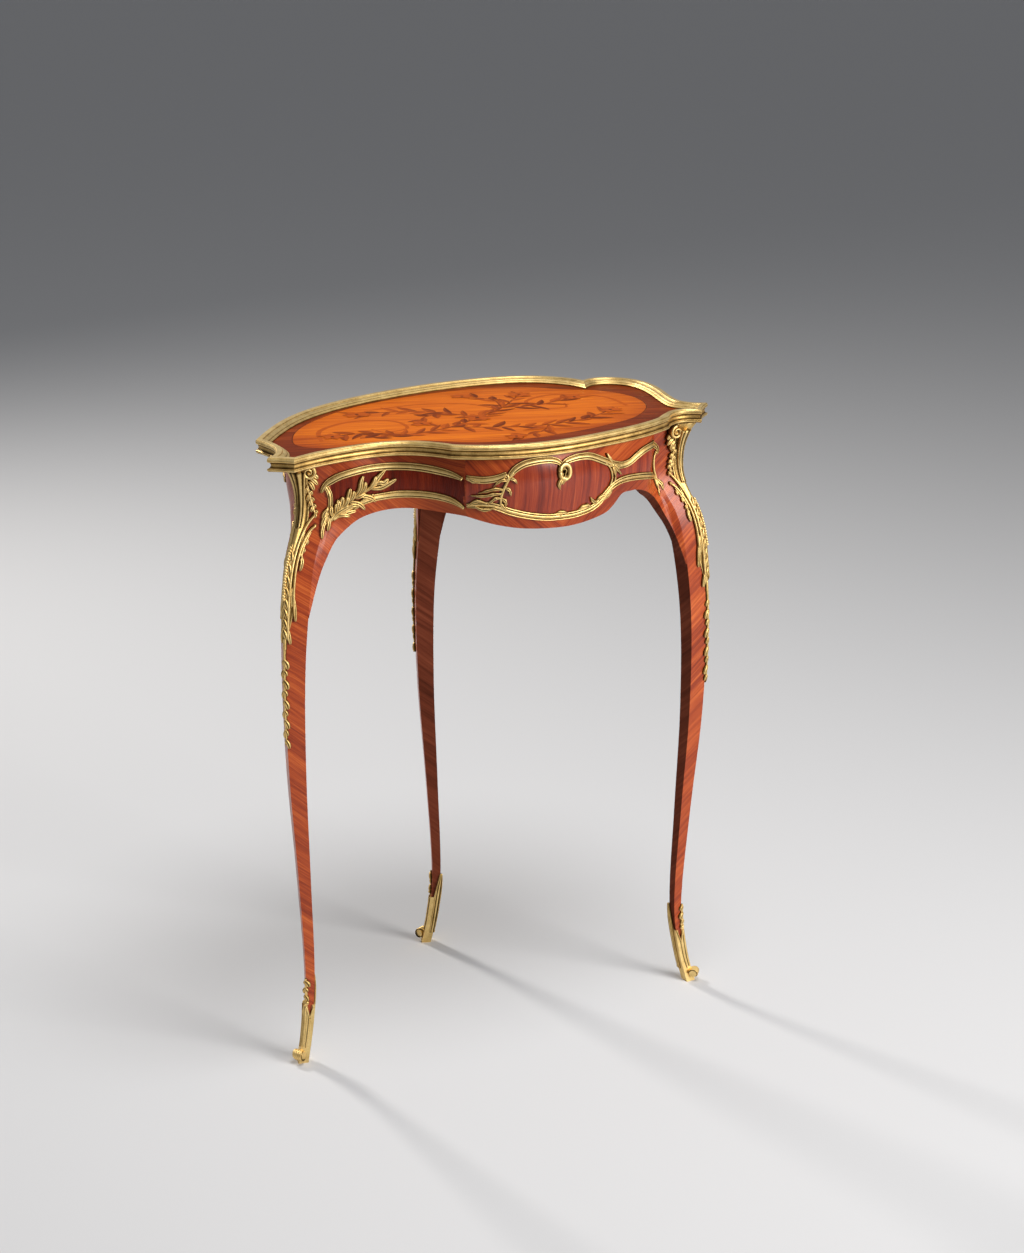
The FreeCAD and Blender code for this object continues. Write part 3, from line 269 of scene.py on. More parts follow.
def rim_painted_shade(tree):
    """The rim is painted darkest in its cove and along fine lines on its face, as shade of its grooves."""
    place = node(tree, "ShaderNodeTexCoord").outputs["Object"]
    height = node(tree, "ShaderNodeSeparateXYZ", {0: place}).outputs[2]
    share = node(tree, "ShaderNodeMapRange", {0: height, 1: LID_BOTTOM, 2: RIM_TOP}).outputs[0]
    return ramp(tree, share, [(at, grey(dark)) for at, dark in RIM_SHADE_LINES])


def carved_recess(tree):
    """Depth below the crest of a carved piece, stored with its points; gilding darkens with it as painted
    shade.
    """
    return node(tree, "ShaderNodeAttribute", attribute_name="recess").outputs["Fac"]

# How slowly the veneer changes along its stripes.
STRIPE_STRETCH = 0.03


def make_veneer_group():
    """Striped veneer: tone and pores from a coordinate across the stripes and one along them."""
    tree, given, out = new_group(
        "striped_veneer", "Shader", {"Across": "Float", "Along": "Float", "Seed": "Float"},
        {"Tone": "Float", "Pores": "Float"})
    slow = math_node(tree, "MULTIPLY", given["Along"], STRIPE_STRETCH)
    drawn = node(tree, "ShaderNodeCombineXYZ", {0: given["Across"], 1: slow, 2: given["Seed"]}).outputs[0]
    broad = noise_node(tree, drawn, 40.0, 2.0)
    stripe = noise_node(tree, drawn, 210.0, 3.0)
    fine = noise_node(tree, drawn, 700.0, 4.0, 0.65)
    hair = noise_node(tree, drawn, 2100.0, 2.0)
    tone = math_node(tree, "MULTIPLY_ADD", broad, 0.3, math_node(tree, "MULTIPLY", stripe, 0.34))
    tone = math_node(tree, "MULTIPLY_ADD", fine, 0.36, tone)
    tone = math_node(tree, "MULTIPLY_ADD", math_node(tree, "SUBTRACT", hair, 0.5), 0.14, tone)
    feed(tree, out, {"Tone": tone, "Pores": hair})
    return tree


veneer_group = make_veneer_group()
# Woods: tones of the grain and their colours.
TULIPWOOD = [
    (0.34, (0.13, 0.014, 0.004)), (0.44, (0.28, 0.036, 0.008)), (0.52, (0.44, 0.072, 0.014)),
    (0.64, (0.66, 0.155, 0.032))]
PANEL_WOOD = [
    (0.36, (0.1, 0.009, 0.003)), (0.46, (0.22, 0.022, 0.006)), (0.54, (0.33, 0.04, 0.009)),
    (0.66, (0.52, 0.1, 0.022))]
# Panel wood darkened for the scoop's panel: a painted shade.
SCOOP_SHADE_WOOD = [
    (0.36, (0.068, 0.006, 0.001)), (0.46, (0.13, 0.01, 0.002)), (0.54, (0.19, 0.017, 0.003)),
    (0.66, (0.31, 0.04, 0.006))]
BORDER_WOOD = [
    (0.34, (0.065, 0.008, 0.001)), (0.45, (0.13, 0.018, 0.003)), (0.55, (0.21, 0.033, 0.005)),
    (0.68, (0.34, 0.066, 0.01))]
INNER_WOOD = [(0.34, (0.065, 0.016, 0.008)), (0.5, (0.145, 0.034, 0.017)), (0.66, (0.25, 0.065, 0.032))]
OAK = [(0.34, (0.12, 0.06, 0.025)), (0.5, (0.22, 0.12, 0.05)), (0.66, (0.34, 0.2, 0.09))]
SATINWOOD = [
    (0.34, (0.34, 0.055, 0.002)), (0.45, (0.5, 0.098, 0.004)), (0.54, (0.62, 0.142, 0.005)),
    (0.66, (0.74, 0.21, 0.01))]
SHADED_WOOD = [(0.34, (0.16, 0.018, 0.002)), (0.5, (0.3, 0.042, 0.003)), (0.66, (0.46, 0.08, 0.005))]

# Inward and upper faces are left bare: added roughness, shine, and how far a face has to turn to be polished.
BARE_ROUGHNESS, BARE_SHINE, POLISHED_TURN = 0.35, 0.02, 0.01
# What the pores add to the roughness, and what is taken off it for them.
PORE_ROUGHNESS, PORE_OFFSET = 0.14, 0.05
# Shares of the way to the field's edge where it starts and ends to darken, how dark it gets there, and how
# much the grain frays it.
SHADE_START, SHADE_END, SHADE_MOST, SHADE_FRAY = 0.72, 1.02, 0.85, -0.5


def veneer(name, stops, across, along, seed, shine, polish=0.28, inner=None, fold=None, shaded=None,
           wander=0.012):
    """Polished striped wood.

    inner is the wood of bare faces and a test for them, fold is where the stripes mirror, and shaded is the
    wood of a scorched edge and its place.
    """
    material, tree, shader = new_material(name)
    source = node(tree, "ShaderNodeTexCoord").outputs
    place = source["Object"]
    drift = noise_node(tree, place, 9.0, 1.0)
    bent = math_node(tree, "MULTIPLY_ADD", drift, wander, dot_node(tree, place, across))
    if fold:
        direction, middle, weight = fold
        reach = math_node(tree, "SUBTRACT", dot_node(tree, place, direction), middle)
        bent = math_node(tree, "MULTIPLY_ADD", math_node(tree, "ABSOLUTE", reach), weight, bent)
    grain = node(tree, "ShaderNodeGroup")
    grain.node_tree = veneer_group
    feed(tree, grain, {"Across": bent, "Along": dot_node(tree, place, along)})
    grain.inputs["Seed"].default_value = seed
    tone = grain.outputs["Tone"]
    pores = grain.outputs["Pores"]
    colour = ramp(tree, tone, stops)
    rough = math_node(tree, "MULTIPLY_ADD", pores, PORE_ROUGHNESS, polish - PORE_OFFSET)
    shader.inputs["Specular IOR Level"].default_value = shine
    if inner:
        stops, facing = inner
        side = math_node(tree, "GREATER_THAN", facing(tree, source["Normal"], place), POLISHED_TURN)
        colour = mix(tree, side, ramp(tree, tone, stops), colour)
        rough = math_node(tree, "ADD", rough, BARE_ROUGHNESS)
        rough = math_node(tree, "MULTIPLY_ADD", side, -BARE_ROUGHNESS, rough)
        gloss = math_node(tree, "MULTIPLY_ADD", side, shine - BARE_SHINE, BARE_SHINE)
        feed(tree, shader, {"Specular IOR Level": gloss})
    if shaded:
        stops, middle, reach = shaded
        mapped = {"Vector": place, "Location": middle, "Scale": reach}
        centred = node(tree, "ShaderNodeMapping", mapped).outputs[0]
        far = node(tree, "ShaderNodeVectorMath", {0: centred}, operation="LENGTH").outputs["Value"]
        far = math_node(tree, "MULTIPLY_ADD", math_node(tree, "SUBTRACT", tone, 0.5), SHADE_FRAY, far)
        shade = {0: far, 1: SHADE_START, 2: SHADE_END, 4: SHADE_MOST}
        edge = node(tree, "ShaderNodeMapRange", shade).outputs[0]
        colour = mix(tree, edge, colour, ramp(tree, tone, stops))
    bump = node(tree, "ShaderNodeBump", {"Height": pores, "Strength": 0.06, "Distance": 0.0003})
    feed(tree, shader, {"Base Color": colour, "Roughness": rough, "Normal": bump.outputs[0]})
    return material


def outward_of(direction):
    """Facing test for a leg: how far a face turns the way its arris points."""
    def facing(tree, normal, place):
        return dot_node(tree, normal, direction)
    return facing


def away_from_middle(tree, normal, place):
    """Facing test for a wall: how far a face turns away from the table's middle."""
    flat = node(tree, "ShaderNodeVectorMath", {0: place, 1: (1, 1, 0)}, operation="MULTIPLY").outputs[0]
    return dot_node(tree, normal, flat)


def metal(name, dark, light, roughness):
    """Plain worked metal with fine scratches and a few dull patches."""
    material, tree, shader = new_material(name)
    place = node(tree, "ShaderNodeTexCoord").outputs["Object"]
    stretched = node(tree, "ShaderNodeMapping", {"Vector": place, "Scale": (900, 60, 900)}).outputs[0]
    scratch = noise_node(tree, stretched, 1.0, 3.0)
    patch = noise_node(tree, place, 160.0, 4.0)
    tone = math_node(tree, "MULTIPLY_ADD", scratch, 0.4, math_node(tree, "MULTIPLY", patch, 0.6))
    colour = ramp(tree, tone, [(0.3, dark), (0.65, light)])
    rough = math_node(tree, "MULTIPLY_ADD", patch, 0.3, roughness)
    bump = node(tree, "ShaderNodeBump", {"Height": scratch, "Strength": 0.1, "Distance": 0.0002})
    feed(tree, shader, {"Base Color": colour, "Roughness": rough, "Normal": bump.outputs[0]})
    shader.inputs["Metallic"].default_value = 1.0
    return material


TOP_SHINE = 0.015
INLAY_WOODS = [
    (0.0, (0.44, 0.08, 0.004)), (0.35, (0.3, 0.052, 0.004)), (0.7, (0.17, 0.027, 0.003)),
    (1.0, (0.08, 0.013, 0.002))]


def inlay_wood(name):
    """Stained woods of the marquetry, chosen by the tone stored with each piece."""
    material, tree, shader = new_material(name)
    place = node(tree, "ShaderNodeTexCoord").outputs["Object"]
    stretched = node(tree, "ShaderNodeMapping", {"Vector": place, "Scale": (60, 420, 1)}).outputs[0]
    streak = noise_node(tree, stretched, 1.0, 4.0)
    tone = math_node(tree, "MULTIPLY_ADD", math_node(tree, "SUBTRACT", streak, 0.5), 0.7, carved_recess(tree))
    rough = math_node(tree, "MULTIPLY_ADD", streak, 0.1, 0.3)
    feed(tree, shader, {"Base Color": ramp(tree, tone, INLAY_WOODS), "Roughness": rough})
    shader.inputs["Specular IOR Level"].default_value = TOP_SHINE
    return material


def flat_direction(degrees):
    return Vector((math.cos(math.radians(degrees)), math.sin(math.radians(degrees)), 0))


def dress(name, material):
    data = nodes[name].data
    data.materials.clear()
    data.materials.append(material)


# Headings of the legs' arrises in plan, in degrees anticlockwise from +X.
LEG_HEADINGS = {"leg_left": 215, "leg_right": 322, "leg_back": 118}
# Pieces whose stripes run on from each leg, and how far out along its heading they mirror.
LEG_STRIPES = {
    "leg_left": (("apron_scoop", "apron_left"), 0.07),
    "leg_right": (("apron_front", "apron_right"), 0.137),
    "leg_back": (("apron_back",), -0.05)}
STRIPE_RISE, STRIPE_FALL, STRIPE_RUN, LEG_SEED = 0.78, -0.86, 0.6, 3.1
# Scorched edge of the field: shares of the way to it in a metre, and a shift of its middle in such shares.
FIELD_REACH = (1 / 0.245, 1 / 0.142, 0)
FIELD_SHIFT = (-0.01, -0.07, 0)

plain_bronze = bronze("gilt_bronze")
rim_bronze = bronze("rim_bronze", rim_painted_shade)
carved_bronze = bronze("carved_bronze", carved_recess)
oak = veneer("carcase_oak", OAK, (0, 1, 0.3), (1, 0, 0), seed=3.0, polish=0.5, shine=0.25)
brass = metal("brass", (0.3, 0.18, 0.05), (0.75, 0.52, 0.2), 0.22)
steel = metal("steel", (0.2, 0.19, 0.18), (0.6, 0.58, 0.56), 0.3)
dark_bronze = metal("pin_heads", (0.02, 0.012, 0.005), (0.09, 0.055, 0.02), 0.45)
upright = {"across": (1, 0.3, 0.02), "along": UP, "wander": 0.004}
panel_veneer = veneer("panel_veneer", PANEL_WOOD, seed=41.0, polish=0.2, shine=0.45, **upright)
# The scoop's panel takes the darker wood as a painted shade.
scoop_shaded_veneer = veneer("scoop_shaded_veneer", SCOOP_SHADE_WOOD, seed=43.0, polish=0.25, shine=0.2, **upright)
leg_veneers = {}
for index, (leg, (walls, middle)) in enumerate(LEG_STRIPES.items()):
    out = flat_direction(LEG_HEADINGS[leg])
    stripes = {"across": UP * STRIPE_RISE, "along": (UP + out) * STRIPE_RUN, "seed": index * LEG_SEED,
               "fold": (out, middle, STRIPE_FALL)}
    inner = (INNER_WOOD, outward_of(out))
    leg_veneers[leg] = veneer(leg + "_veneer", TULIPWOOD, shine=0.35, inner=inner, **stripes)
    dress(leg, leg_veneers[leg])
    inner = (INNER_WOOD, away_from_middle)
    for wall in walls:
        dress(wall, veneer(wall + "_veneer", TULIPWOOD, shine=0.25, inner=inner, **stripes))
top_finish = {"polish": 0.3, "shine": TOP_SHINE}
border = veneer("border", BORDER_WOOD, (0.3, 1, 0), (1, -0.3, 0), seed=23.0, **top_finish)
dress("top_border_veneer", border)
scorched = (SHADED_WOOD, FIELD_SHIFT, FIELD_REACH)
field = veneer("satinwood", SATINWOOD, (0.25, 1, 0), (1, -0.25, 0), seed=31.0, shaded=scorched, **top_finish)
dress("marquetry_field", field)
for name in nodes:
    if name == "rim_pins":
        dress(name, dark_bronze)
    elif name.startswith("rim_"):
        dress(name, rim_bronze)
    elif name.startswith(("sabot_", "chute_", "scoop_", "cartouche_", "frame_", "keyhole_loop")):
        dress(name, plain_bronze)
    elif name.startswith("ledger_") or name in ("lid_board", "bottom_board"):
        dress(name, oak)
    elif name.startswith("hinge_") or name in ("lock_case", "link_plate", "lock_staple", "keyhole_liner"):
        dress(name, brass)
    elif name.endswith("_screws") or name == "lock_bolt":
        dress(name, steel)

# Charts: every carved piece is laid out in millimetres on one of the table's faces.
CASE_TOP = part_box("apron_front")[1].z / MM
PANEL_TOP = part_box("marquetry_field")[1].z / MM


def tree_of(*names):
    """Ray-cast tree over the faces of several CAD pieces."""
    points = []
    faces = []
    for name in names:
        item = nodes[name]
        first = len(points)
        points += [item.matrix_world @ vertex.co for vertex in item.data.vertices]
        faces += [[first + index for index in face.vertices] for face in item.data.polygons]
    return BVHTree.FromPolygons(points, faces)


def catmull(before, start, end, after, share):
    square = share * share
    cube = square * share
    slope = (after - start) * (cube - square) + (end - before) * (cube - 2 * square + share)
    return start * (2 * cube - 3 * square + 1) + end * (3 * square - 2 * cube) + slope / 2


def smooth_path(stations, step, closed=False):
    """Stations of any width joined by a smooth curve and sampled about every step millimetres."""
    rows = []
    count = len(stations)
    for index in range(count if closed else count - 1):
        places = [index - 1, index, index + 1, index + 2]
        if closed:
            four = [stations[place % count] for place in places]
        else:
            four = [stations[min(max(place, 0), count - 1)] for place in places]
        span = math.hypot(four[2][0] - four[1][0], four[2][1] - four[1][1])
        parts = max(2, round(span / step))
        for part in range(parts):
            rows.append(tuple(catmull(*values, part / parts) for values in zip(*four)))
    rows.append(tuple(stations[0] if closed else stations[-1]))
    return rows


class WallChart:
    """Places on a wall by distance along its plan, drop below the case's top and lift off its face."""

    HAND = -1
    REACH = 70
    PLAN_STEP = 3
    SLOPE_STEP = 3
    TURN_STEP = 5

    def __init__(self, plan, *names):
        self.points = [Vector((x, y, 0)) for x, y in smooth_path(plan, self.PLAN_STEP)]
        self.marks = [0]
        for start, end in zip(self.points, self.points[1:]):
            self.marks.append(self.marks[-1] + (end - start).length)
        self.tree = tree_of(*names)

    def ground(self, distance):
        index = bisect.bisect_right(self.marks, distance) - 1
        index = min(max(index, 0), len(self.points) - 2)
        span = self.marks[index + 1] - self.marks[index]
        share = (distance - self.marks[index]) / span
        return self.points[index].lerp(self.points[index + 1], share)

    def depth(self, foot, out, height):
        """How far the face stands out from the plan at a height, or None past its edge."""
        start = (foot + out * self.REACH + UP * height) * MM
        hit = self.tree.ray_cast(start, -out, 2 * self.REACH * MM)[0]
        return None if hit is None else (hit / MM - foot).dot(out)

    def place(self, distance, drop, lift):
        foot = self.ground(distance)
        heading = self.ground(distance + self.TURN_STEP) - self.ground(distance - self.TURN_STEP)
        out = Vector((heading.y, -heading.x, 0)).normalized()
        height = CASE_TOP - drop
        depth = self.depth(foot, out, height)
        above = self.depth(foot, out, height + self.SLOPE_STEP)
        below = self.depth(foot, out, height - self.SLOPE_STEP)
        slope = 0
        if above is not None and below is not None:
            slope = min(max((above - below) / (2 * self.SLOPE_STEP), -1), 1)
        normal = (out - UP * slope).normalized()
        return (foot + out * (depth or 0) + UP * height + normal * lift) * MM


class LegChart:
    """Places on a leg by distance across from its arris, drop below the case's top and lift off its face."""

    HAND = -1
    REACH = 120
    FIRST_DROP = 1
    LOWEST = 14
    PROBE = 3
    STEP = 6
    ROUNDING = 4

    def __init__(self, name, foot, heading):
        self.foot = Vector((*foot, 0))
        self.out = flat_direction(heading)
        self.side = Vector((-self.out.y, self.out.x, 0))
        tree = tree_of(name)
        self.sets = []
        height = CASE_TOP - self.FIRST_DROP
        while height > self.LOWEST:
            depths = []
            for step in (-self.PROBE, self.PROBE):
                start = (self.foot + self.out * self.REACH + self.side * step + UP * height) * MM
                hit = tree.ray_cast(start, -self.out)[0]
                depths.append((hit / MM - self.foot).dot(self.out) + self.PROBE)
            self.sets.append(sum(depths) / 2)
            height -= self.STEP

    def arris_set(self, drop):
        at = min(max((drop - self.FIRST_DROP) / self.STEP, 0), len(self.sets) - 1.001)
        index = int(at)
        return self.sets[index] + (self.sets[index + 1] - self.sets[index]) * (at - index)

    def place(self, across, drop, lift):
        turn = 1 if across >= 0 else -1
        along = (self.side * turn - self.out).normalized()
        share = min(max(across / self.ROUNDING, -1), 1)
        normal = (self.out + self.side * share).normalized()
        base = self.foot + self.out * self.arris_set(drop) + along * abs(across)
        return (base + normal * lift + UP * (CASE_TOP - drop)) * MM


class TopChart:
    """Places on the lid's panel by width and depth."""

    HAND = 1

    def place(self, x, y, lift):
        return Vector((x, y, PANEL_TOP + lift)) * MM


# Sections of the carved pieces: share of the half width, share of the height and painted shade of the
# hollows.
BAND = [
    (-1, 0, 1), (-0.97, 0.62, 0.35), (-0.86, 0.86, 0), (-0.7, 0.8, 0.1), (-0.6, 0.5, 0.95),
    (-0.46, 0.6, 0.3), (-0.2, 0.8, 0.1), (0.05, 0.96, 0), (0.3, 1, 0), (0.42, 0.62, 0.85),
    (0.54, 0.6, 0.85), (0.68, 0.86, 0.05), (0.86, 0.82, 0), (0.97, 0.55, 0.4), (1, 0, 1)]
# Lift of every carved piece off its face.
SEAT = 0.06


def mirrored(half):
    """A section from its left half; a place at the middle is kept once."""
    return half + [(-across, rise, dark) for across, rise, dark in half[::-1] if across]


ROUND = mirrored([(-1, 0, 1), (-0.9, 0.5, 0.55), (-0.6, 0.85, 0.1), (-0.2, 1, 0)])
LEAF = mirrored([(-1, 0, 1), (-0.94, 0.45, 0.45), (-0.62, 0.84, 0.1), (-0.26, 1, 0), (0, 0.5, 0.95)])
PLATE = mirrored([
    (-1, 0, 1), (-0.98, 0.36, 0.3), (-0.9, 0.44, 0), (-0.76, 0.3, 0.6), (-0.45, 0.38, 0.15), (-0.2, 0.7, 0.1),
    (0, 1, 0.1)])
FLUTED = mirrored([
    (-1, 0, 1), (-0.94, 0.7, 0.2), (-0.8, 0.95, 0), (-0.66, 0.3, 1), (-0.5, 0.95, 0), (-0.34, 0.95, 0),
    (-0.18, 0.3, 1), (0, 1, 0)])


def to_the_side(path, index):
    """Direction at right angles to a path, at one of its places."""
    before = path[max(index - 1, 0)]
    after = path[min(index + 1, len(path) - 1)]
    du = after[0] - before[0]
    dv = after[1] - before[1]
    length = math.hypot(du, dv) or 1
    return -dv / length, du / length


def circle(u, v, radius, sides):
    """Places round a circle, with the first one again at its end."""
    turns = [2 * math.pi * step / sides for step in range(sides + 1)]
    return [(u + radius * math.cos(turn), v + radius * math.sin(turn)) for turn in turns]


class Casting:
    """A piece built up from strips, leaves and domes on a chart; each point keeps how deep it lies, painted
    as shade on gilding.
    """

    BAND_STEP = 2.2
    LEAF_STEP = 1.5
    # A dome's rings and sides, how its foot draws in, and the painted shade at its edge.
    DOME_RINGS, DOME_SIDES, DOME_FOOT, DOME_DARK = 4, 8, 0.3, 0.8
    # A leaf's lean towards its tip and its thinness, pointed or blunt.
    POINTED, BLUNT = (0.75, 0.75), (1.25, 0.5)
    # Its half width in shares: body, stalk and edge; its height at the ends, and what a notch takes off.
    BODY, STALK, EDGE, ENDS, NOTCH = 0.94, 0.12, 0.02, 0.45, 0.34
    # Where its arch starts along a half turn, and how much of the half turn it takes.
    ARCH_START, ARCH_SPAN = 0.1, 0.9
    # A sprig's leaves: turn off the stem, first reach and its loss, shares up to the bend and past it, turn
    # left there, curl; and its stem's height.
    SPREAD, REACH, REACH_LOSS, ROOT, TIP, TIP_TURN, CURL, STEM = 0.7, 1.1, 0.3, 0.5, 0.55, 0.35, 0.6, 0.85
    # A spiral's steps in a turn, its loss of reach and of width up to its eye, and the eye's size and height.
    COIL_STEPS, COIL, TAPER, EYE, EYE_RISE = 10, 0.82, 0.55, 0.3, 1.1

    def __init__(self, chart):
        self.chart = chart
        self.points = []
        self.faces = []
        self.depths = []

    def skin(self, rows):
        """Join rows of (u, v, lift, depth) into a sheet that faces outwards."""
        first = len(self.points)
        width = len(rows[0])
        for row in rows:
            for u, v, lift, depth in row:
                self.points.append(self.chart.place(u, v, lift))
                self.depths.append(depth)
        for row in range(len(rows) - 1):
            for column in range(width - 1):
                corner = first + row * width + column
                quad = [corner, corner + width, corner + width + 1, corner + 1]
                self.faces.append(quad if self.chart.HAND > 0 else quad[::-1])

    def sweep(self, path, section):
        """Run a section along a path of (u, v, half width, height, base)."""
        rows = []
        for index, (u, v, half, height, base) in enumerate(path):
            du, dv = to_the_side(path, index)
            row = []
            for across, rise, dark in section:
                lift = base + rise * height if rise else 0
                row.append((u + du * across * half, v + dv * across * half, lift + SEAT, dark))
            rows.append(row)
        # The ends meet the face and take the full painted shade.
        ends = [[(u, v, SEAT, 1) for u, v, lift, dark in row] for row in (rows[0], rows[-1])]
        self.skin([ends[0], *rows, ends[1]])

    def band(self, stations, height=3.0, section=BAND, closed=False, base=0.0):
        """Moulded strip along stations of (u, v, half width)."""
        rows = smooth_path([(u, v, half, height, base) for u, v, half in stations], self.BAND_STEP, closed)
        self.sweep(rows, section)

    def leaf(self, stations, width, height, lobes=0, base=0.0, curl=0.0, blunt=False):
        """Leaf along stations of (u, v); lobes notch its edge, curl raises its tip and blunt rounds it."""
        path = smooth_path(stations, self.LEAF_STEP)
        lean, thinness = self.BLUNT if blunt else self.POINTED
        rows = []
        for index, (u, v) in enumerate(path):
            share = index / (len(path) - 1)
            swell = math.sin(math.pi * share ** lean) ** thinness if 0 < share < 1 else 0
            half = width / 2 * (self.BODY * swell + self.STALK * (1 - share) + self.EDGE)
            if lobes:
                half *= 1 - self.NOTCH * abs(math.sin(math.pi * lobes * share))
            arch = math.sin(math.pi * min(share * self.ARCH_SPAN + self.ARCH_START, 1))
            rise = height * (self.ENDS + (1 - self.ENDS) * arch)
            rows.append((u, v, half, rise, base + curl * share ** 2))
        self.sweep(rows, LEAF)

    def leaves(self, paths, **form):
        """A leaf along each path, all of one form."""
        for path in paths:
            self.leaf(path, **form)

    def sprig(self, stations, count, length, width, height, base):
        """Stem along stations of (u, v, half width) with leaves to both sides and one at its end."""
        self.band(stations, height * self.STEM, ROUND, base=base)
        path = smooth_path(stations, self.LEAF_STEP)
        for index in range(count + 1):
            share = min((index + 0.6) / (count + 0.4), 1)
            place = round(share * (len(path) - 2))
            u, v = path[place][:2]
            after = path[place + 1]
            heading = math.atan2(after[1] - v, after[0] - u)
            side = 0 if index == count else 1 - 2 * (index % 2)
            reach = length * (self.REACH - self.REACH_LOSS * share)
            path_of_leaf = [(u, v)]
            for part, turn in ((self.ROOT, 1), (self.TIP, self.TIP_TURN)):
                angle = heading + side * self.SPREAD * turn
                u += part * reach * math.cos(angle)
                v += part * reach * math.sin(angle)
                path_of_leaf.append((u, v))
            self.leaf(path_of_leaf, width, height, base=base, curl=self.CURL, blunt=True)

    def bead(self, u, v, radius, height, base=0.0):
        """Berry: a dome on the face."""
        rows = []
        for ring in range(self.DOME_RINGS + 1):
            angle = math.pi / 2 * ring / self.DOME_RINGS
            rise = math.cos(angle)
            lift = base * rise ** self.DOME_FOOT + height * rise + SEAT
            places = circle(u, v, radius * math.sin(angle), self.DOME_SIDES)
            rows.append([(*place, lift, self.DOME_DARK * (1 - rise)) for place in places])
        self.skin(rows)

    def volute(self, u, v, radius, turns, start, half, height, base=0.0, hand=1):
        """Spiral scroll that winds into its eye."""
        stations = []
        count = round(turns * self.COIL_STEPS)
        for index in range(count + 1):
            share = index / count
            angle = start + hand * turns * 2 * math.pi * share
            reach = radius * (1 - self.COIL * share)
            place = (u + reach * math.cos(angle), v + reach * math.sin(angle))
            stations.append((*place, half * (1 - self.TAPER * share)))
        self.band(stations, height, ROUND, base=base)
        self.bead(u, v, radius * self.EYE, height * self.EYE_RISE, base)

    def gild(self, name, *replaced):
        """Finish the piece in gilt bronze, in place of CAD pieces."""
        self.make(name, "case", "gilt_bronze", carved_bronze, *replaced)

    def make(self, name, body, slot, material, *replaced):
        mesh = bpy.data.meshes.new(name)
        mesh.from_pydata(self.points, [], self.faces)
        mesh.attributes.new("recess", "FLOAT", "POINT").data.foreach_set("value", self.depths)
        mesh.polygons.foreach_set("use_smooth", [True] * len(self.faces))
        mesh.materials.append(material)
        mesh.update()
        item = bpy.data.objects.new(name, mesh)
        bpy.context.scene.collection.objects.link(item)
        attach(item, body)
        if replaced:
            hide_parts(*replaced)


# Plan of each wall in millimetres, from end to end anticlockwise.
SCOOP_PLAN = [
    (-207.2, -83.2), (-201.3, -84.2), (-184.5, -85.7), (-150, -85.2), (-120, -89.7), (-91.5, -105.7),
    (-60.5, -137.7)]
FRONT_PLAN = [
    (-60.5, -137.7), (-26.5, -153.7), (37.5, -159.7), (104.5, -144.7), (160, -122.7), (192, -104.7),
    (208.8, -81.1), (214.8, -80.4)]
RIGHT_PLAN = [
    (240.9, -47), (240.1, -41), (250, -19.7), (257.5, 10.4), (258.5, 48.4), (249.5, 83.4), (228, 97.4),
    (198.5, 90.4)]
BACK_PLAN = [
    (198.5, 90.4), (182, 116.4), (150, 143.4), (92, 156.4), (60, 151.4), (41.6, 136.7), (35.9, 138.4)]
LEFT_PLAN = [
    (2.9, 137.9), (-43, 132.4), (-117.5, 102.4), (-168, 69.4), (-208, 26.4), (-228, -16.7), (-230.4, -42.6),
    (-231.5, -48.5)]
scoop_chart = WallChart(SCOOP_PLAN, "apron_scoop", "leg_left")
front_chart = WallChart(FRONT_PLAN, "apron_front", "leg_right")
right_chart = WallChart(RIGHT_PLAN, "apron_right")
back_chart = WallChart(BACK_PLAN, "apron_back")
left_chart = WallChart(LEFT_PLAN, "apron_left")
FEET = {"left": (-260.5, -94.65), "right": (267.5, -94.65), "back": (3.5, 154.35)}
leg_charts = {side: LegChart(f"leg_{side}", foot, LEG_HEADINGS[f"leg_{side}"]) for side, foot in FEET.items()}

# Scoop: frame, leafy end and spray. Stations are distance along the wall, drop and half width.
SCOOP_TOP = [
    (-6.5, 38, 1.2), (-3, 31.5, 2.6), (4, 25.5, 3.7), (18, 19.5, 3.7), (45, 15.2, 3.7), (78, 14.7, 3.7),
    (109, 16.2, 3.7), (136, 19.2, 3.6), (152, 22, 2.8), (163, 25.5, 1.6)]
SCOOP_SIDE = [(-1, 31, 2.2), (3, 40, 2.5), (4, 50, 2.3), (2, 60, 2.2), (-2, 70, 1.8), (-5, 77, 1.2)]
SCOOP_SIDE_LEAVES = [
    [(2, 56), (-3.5, 62), (-6, 69)],
    [(1, 62), (-5, 70), (-7.5, 78)],
    [(-2, 69), (-6.5, 79), (-8, 90)],
    [(0, 66), (1, 74), (-1, 82)]]
SCOOP_BOTTOM = [
    (30, 60.5, 1.2), (38, 54.8, 2.6), (49, 50.5, 3.6), (66, 48.3, 3.6), (92, 47, 3.6), (124, 48, 3.6),
    (145, 51, 3.4), (156, 55, 2.4), (163.5, 59.5, 1.4)]
SPRAY_STEMS = [
    [(2, 71, 2.2), (12, 61, 2.4), (22, 52, 2.2), (33, 45, 1.9), (46, 39, 1.6), (58, 34, 1.2)],
    [(6, 70, 2.4), (18, 63, 2.6), (30, 57, 2.2), (42, 51, 1.6), (54, 45, 1.2)]]
SPRAY_LEAVES = [
    [(2, 73), (9, 64), (19, 58), (27, 55)],
    [(12, 61), (16, 53), (17.5, 44)],
    [(20, 54), (24, 45), (26, 35)],
    [(30, 47), (37, 38), (39, 29), (41.5, 22)],
    [(40, 42), (52, 35), (60, 26), (69, 17.5)],
    [(50, 38), (62, 38), (72, 34), (82, 29)],
    [(34, 45), (44, 46), (52, 49), (57, 54)],
    [(24, 51), (34, 53), (40, 57), (44, 62)],
    [(56, 34), (62, 32), (66, 33), (72, 28)],
    [(8, 67), (16, 66), (25, 63), (33, 62)]]
